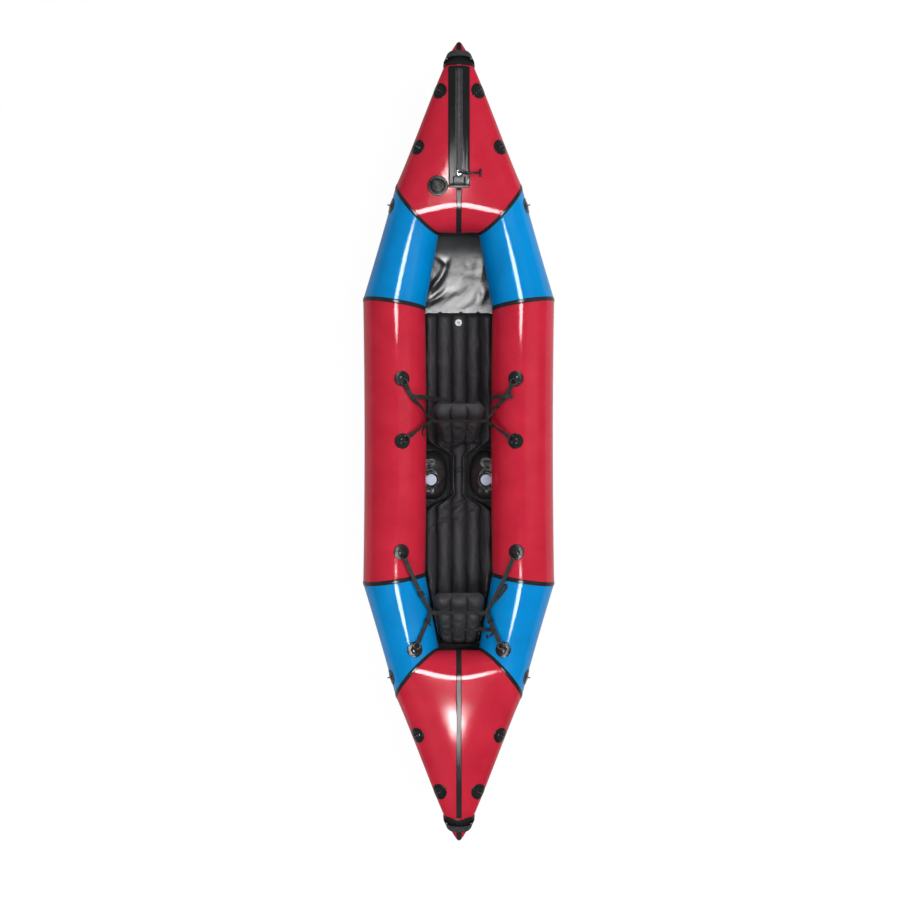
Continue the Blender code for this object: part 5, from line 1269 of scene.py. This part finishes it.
def bright_alloy(name, colour, roughness):
    """Cast alloy, tumbled bright: fine brushing, and cloudy colour and shine."""
    made, tree, _, place = finish_of(name)
    stretched = node(tree, "VectorMath", {0: place, 1: (1400.0, 120.0, 1400.0)}, operation="MULTIPLY")
    lines = node(tree, "TexNoise", {"Vector": stretched, "Scale": 1.0, "Detail": 2.0})
    return finished(made, mottled(tree, place, 220.0), colour, [level * 0.78 for level in colour],
                    mottled(tree, place, 400.0, roughness * 0.7, roughness * 1.5), bump(tree, lines, 0.00004),
                    {"Metallic": 1.0})


slider_alloy = bright_alloy("slider_alloy", (0.80, 0.80, 0.81), 0.24)
slider_y = DOCK_END_Y + 0.002 + SLIDER_LENGTH / 2
pin = at(0, slider_y, over_backing(slider_y, SLIDER_HEIGHT + 0.005))


def slider_section(around, along):
    """The shoe's outline: a channel over the chain's ridge under a rounded back."""
    nose, rear = 1 - crown(along * SLIDER_LENGTH, 0.008), 1 - crown((1 - along) * SLIDER_LENGTH, 0.014)
    half, top = SLIDER_HALF_WIDTH - 0.004 * nose - 0.006 * rear, SLIDER_HEIGHT - 0.0025 * (nose + rear)
    hollow, sill, roof = RIDGE_HALF_WIDTH + 0.0006, CHAIN_BASE + 0.0006, RIDGE_HEIGHT + 0.0006
    shape = [(hollow, roof), (hollow, sill), (half - 0.0008, sill), (half, sill + 0.0012)]
    shape += [(half - SLIDER_BACK_ROUNDING * (1 - cos(pi / 8 * i)),
               top - SLIDER_BACK_ROUNDING * (1 - sin(pi / 8 * i))) for i in range(5)]
    shape += [(-x, up) for x, up in reversed(shape)]
    x, up = shape[round(around * len(shape)) % len(shape)]
    y = slider_y + SLIDER_LENGTH * (along - 0.5)
    return at(x, y, over_backing(y, up))


made_up("zip_slider_shoe", lofted(slider_section, 18, 24), slider_alloy, "zip_slider", "slider", smooth=35,
        edges=0.0004, segments=2, angle=50)
for shift, label in (-1, "rear"), (1, "front"):
    lug = turned([(0, -0.0015), (0.0042, -0.0015), (0.0046, -0.0010), (0.0046, 0.0010), (0.0042, 0.0015),
                  (0, 0.0015)], 32)
    for point in lug.verts:
        point.co.y *= 1.9 if point.co.y < 0 else 1
    stood(lug, pin + deck_ahead * shift * (PULL_HALF_WIDTH + 0.0022), OUTBOARD, deck_up, deck_ahead)
    made_up(f"zip_slider_{label}_lug", lug, slider_alloy, body="slider", smooth=35)
rod = turned([(0, -0.0070), (0.0014, -0.0070), (PULL_PIN, -0.0066), (PULL_PIN, 0.0066), (0.0014, 0.0070),
              (0, 0.0070)], 20)
made_up("zip_slider_pin", stood(rod, pin, OUTBOARD, deck_up, deck_ahead), slider_alloy, body="slider", smooth=35)
pull_out = at(cos(PULL_DROOP), 0, -sin(PULL_DROOP))
pull_over = pull_out.cross(deck_ahead)


def pull_section(around, along):
    """The stem from its eye to its bar: a rounded strip, ribbed for the fingers along its middle."""
    reach, turn = PULL_EYE - 0.0012 + (PULL_LENGTH - PULL_EYE) * along, TURN * around
    ribs = max(0.0, sin(TURN * reach / 0.0055)) * ease((reach - 0.035) / 0.004) * ease((0.082 - reach) / 0.004)
    square = max(abs(cos(turn)), abs(sin(turn))) ** 0.6
    flat = deck_ahead * (PULL_HALF_WIDTH * (0.84 - 0.10 * along) * cos(turn) / square)
    return pin + pull_out * reach + flat + pull_over * ((PULL_HALF_THICK + 0.0006 * ribs) * sin(turn) / square)


def bar_section(around, along):
    """The cross bar: a round-ended grip, thicker than the stem."""
    place, turn = (2 * along - 1) * PULL_BAR_HALF, TURN * around
    end = crown(PULL_BAR_HALF - abs(place), 0.0034) if 0 < along < 1 else 0.15
    return (pin + pull_out * (PULL_LENGTH + PULL_BAR_WIDTH / 2 * end * cos(turn)) + deck_ahead * place
            + pull_over * PULL_HALF_THICK * 1.4 * end * sin(turn))


made_up("zip_pull_stem", lofted(pull_section, 16, 110), black_plastic, "zip_pull", "pull", smooth=60, levels=1)
made_up("zip_pull_bar", lofted(bar_section, 16, 30), black_plastic, body="pull", smooth=60, levels=1)
eyelet = hoop(PULL_PIN + 0.0019, EYE_WIRE, steps=32)
ops.scale(eyelet, verts=eyelet.verts, vec=(1, 1, (PULL_HALF_WIDTH - 0.0004) / EYE_WIRE))
made_up("zip_pull_eye", stood(eyelet, pin, pull_out, pull_over, deck_ahead), black_plastic, body="pull")

# Grab handles. At each tip a black patch is wrapped over the nose, and a loop of broad webbing is sewn and
# welded to it at both sides, standing clear over the top so that a hand goes under it.
HANDLE_PATCH, STERN_PATCH_DRAWN_IN = (1.720, 1.784), 0.010
HANDLE_PATCH_TURN, HANDLE_FOOT_TURN = radians(115), radians(82)
HANDLE_FOOT_Y, HANDLE_TOP_Y, HANDLE_STEPS = 1.732, 1.766, 48
HANDLE_WIDTH, HANDLE_WALL, HANDLE_STANDOFF, NOSE_PATCH_LIFT = 0.025, 0.0026, 0.024, 0.0036
handle_webbing = webbing("handle_webbing", (0.022, 0.023, 0.024), (0.050, 0.052, 0.053), pitch=0.0019)


def on_nose(y, turn, end, lift):
    """A place on the nose at y, a turn round it from the crest, starboard first."""
    outward = at(sin(turn), 0, cos(turn))
    middle = at(0, y * end, deck_line(y) - END_RADIUS * sqrt(1 - ((y - knuckle_y) / nose_length) ** 2))
    return laid(middle + outward * 0.3, -outward, lift)


for end, where_at in ENDS:
    def nose_patch_place(across, along):
        turn, (low, high) = HANDLE_PATCH_TURN * (2 * across - 1), HANDLE_PATCH
        low += STERN_PATCH_DRAWN_IN * exp(-(turn / 0.5) ** 2) * (end < 0)
        return on_nose(low + (high - low) * along, turn, end, NOSE_PATCH_LIFT)

    made_up(f"{where_at}_handle_patch", bent_grid(72, 20, nose_patch_place, 0.2, 0.064), patch_cloth,
            f"{where_at}_grab_handle", wall=PATCH_WALL)
    path, across = [], []
    for step in range(2 * HANDLE_STEPS + 1):
        share = step / HANDLE_STEPS - 1
        y, turn = HANDLE_TOP_Y + (HANDLE_FOOT_Y - HANDLE_TOP_Y) * abs(share) ** 3, HANDLE_FOOT_TURN * share
        standoff = HANDLE_STANDOFF * ease(1.25 * (1 - abs(share)))
        path.append(on_nose(y, turn, end, NOSE_PATCH_LIFT + HANDLE_WALL / 2 + 0.0002 + standoff))
        across.append(on_nose(y + 0.01, turn, end, 0) - on_nose(y - 0.01, turn, end, 0))
    made_up(f"{where_at}_handle_webbing", ribbon(path, across, HANDLE_WIDTH), handle_webbing, wall=HANDLE_WALL,
            offset=0, edges=0.0008, segments=2)
    line = even(path, across)
    for first, label in (1, "starboard"), (len(line[0]) - 6, "port"):
        sewn(f"{where_at}_handle_{label}_stitching", line, first, None, 0.0090, 0.0016)

bpy.context.view_layer.update()
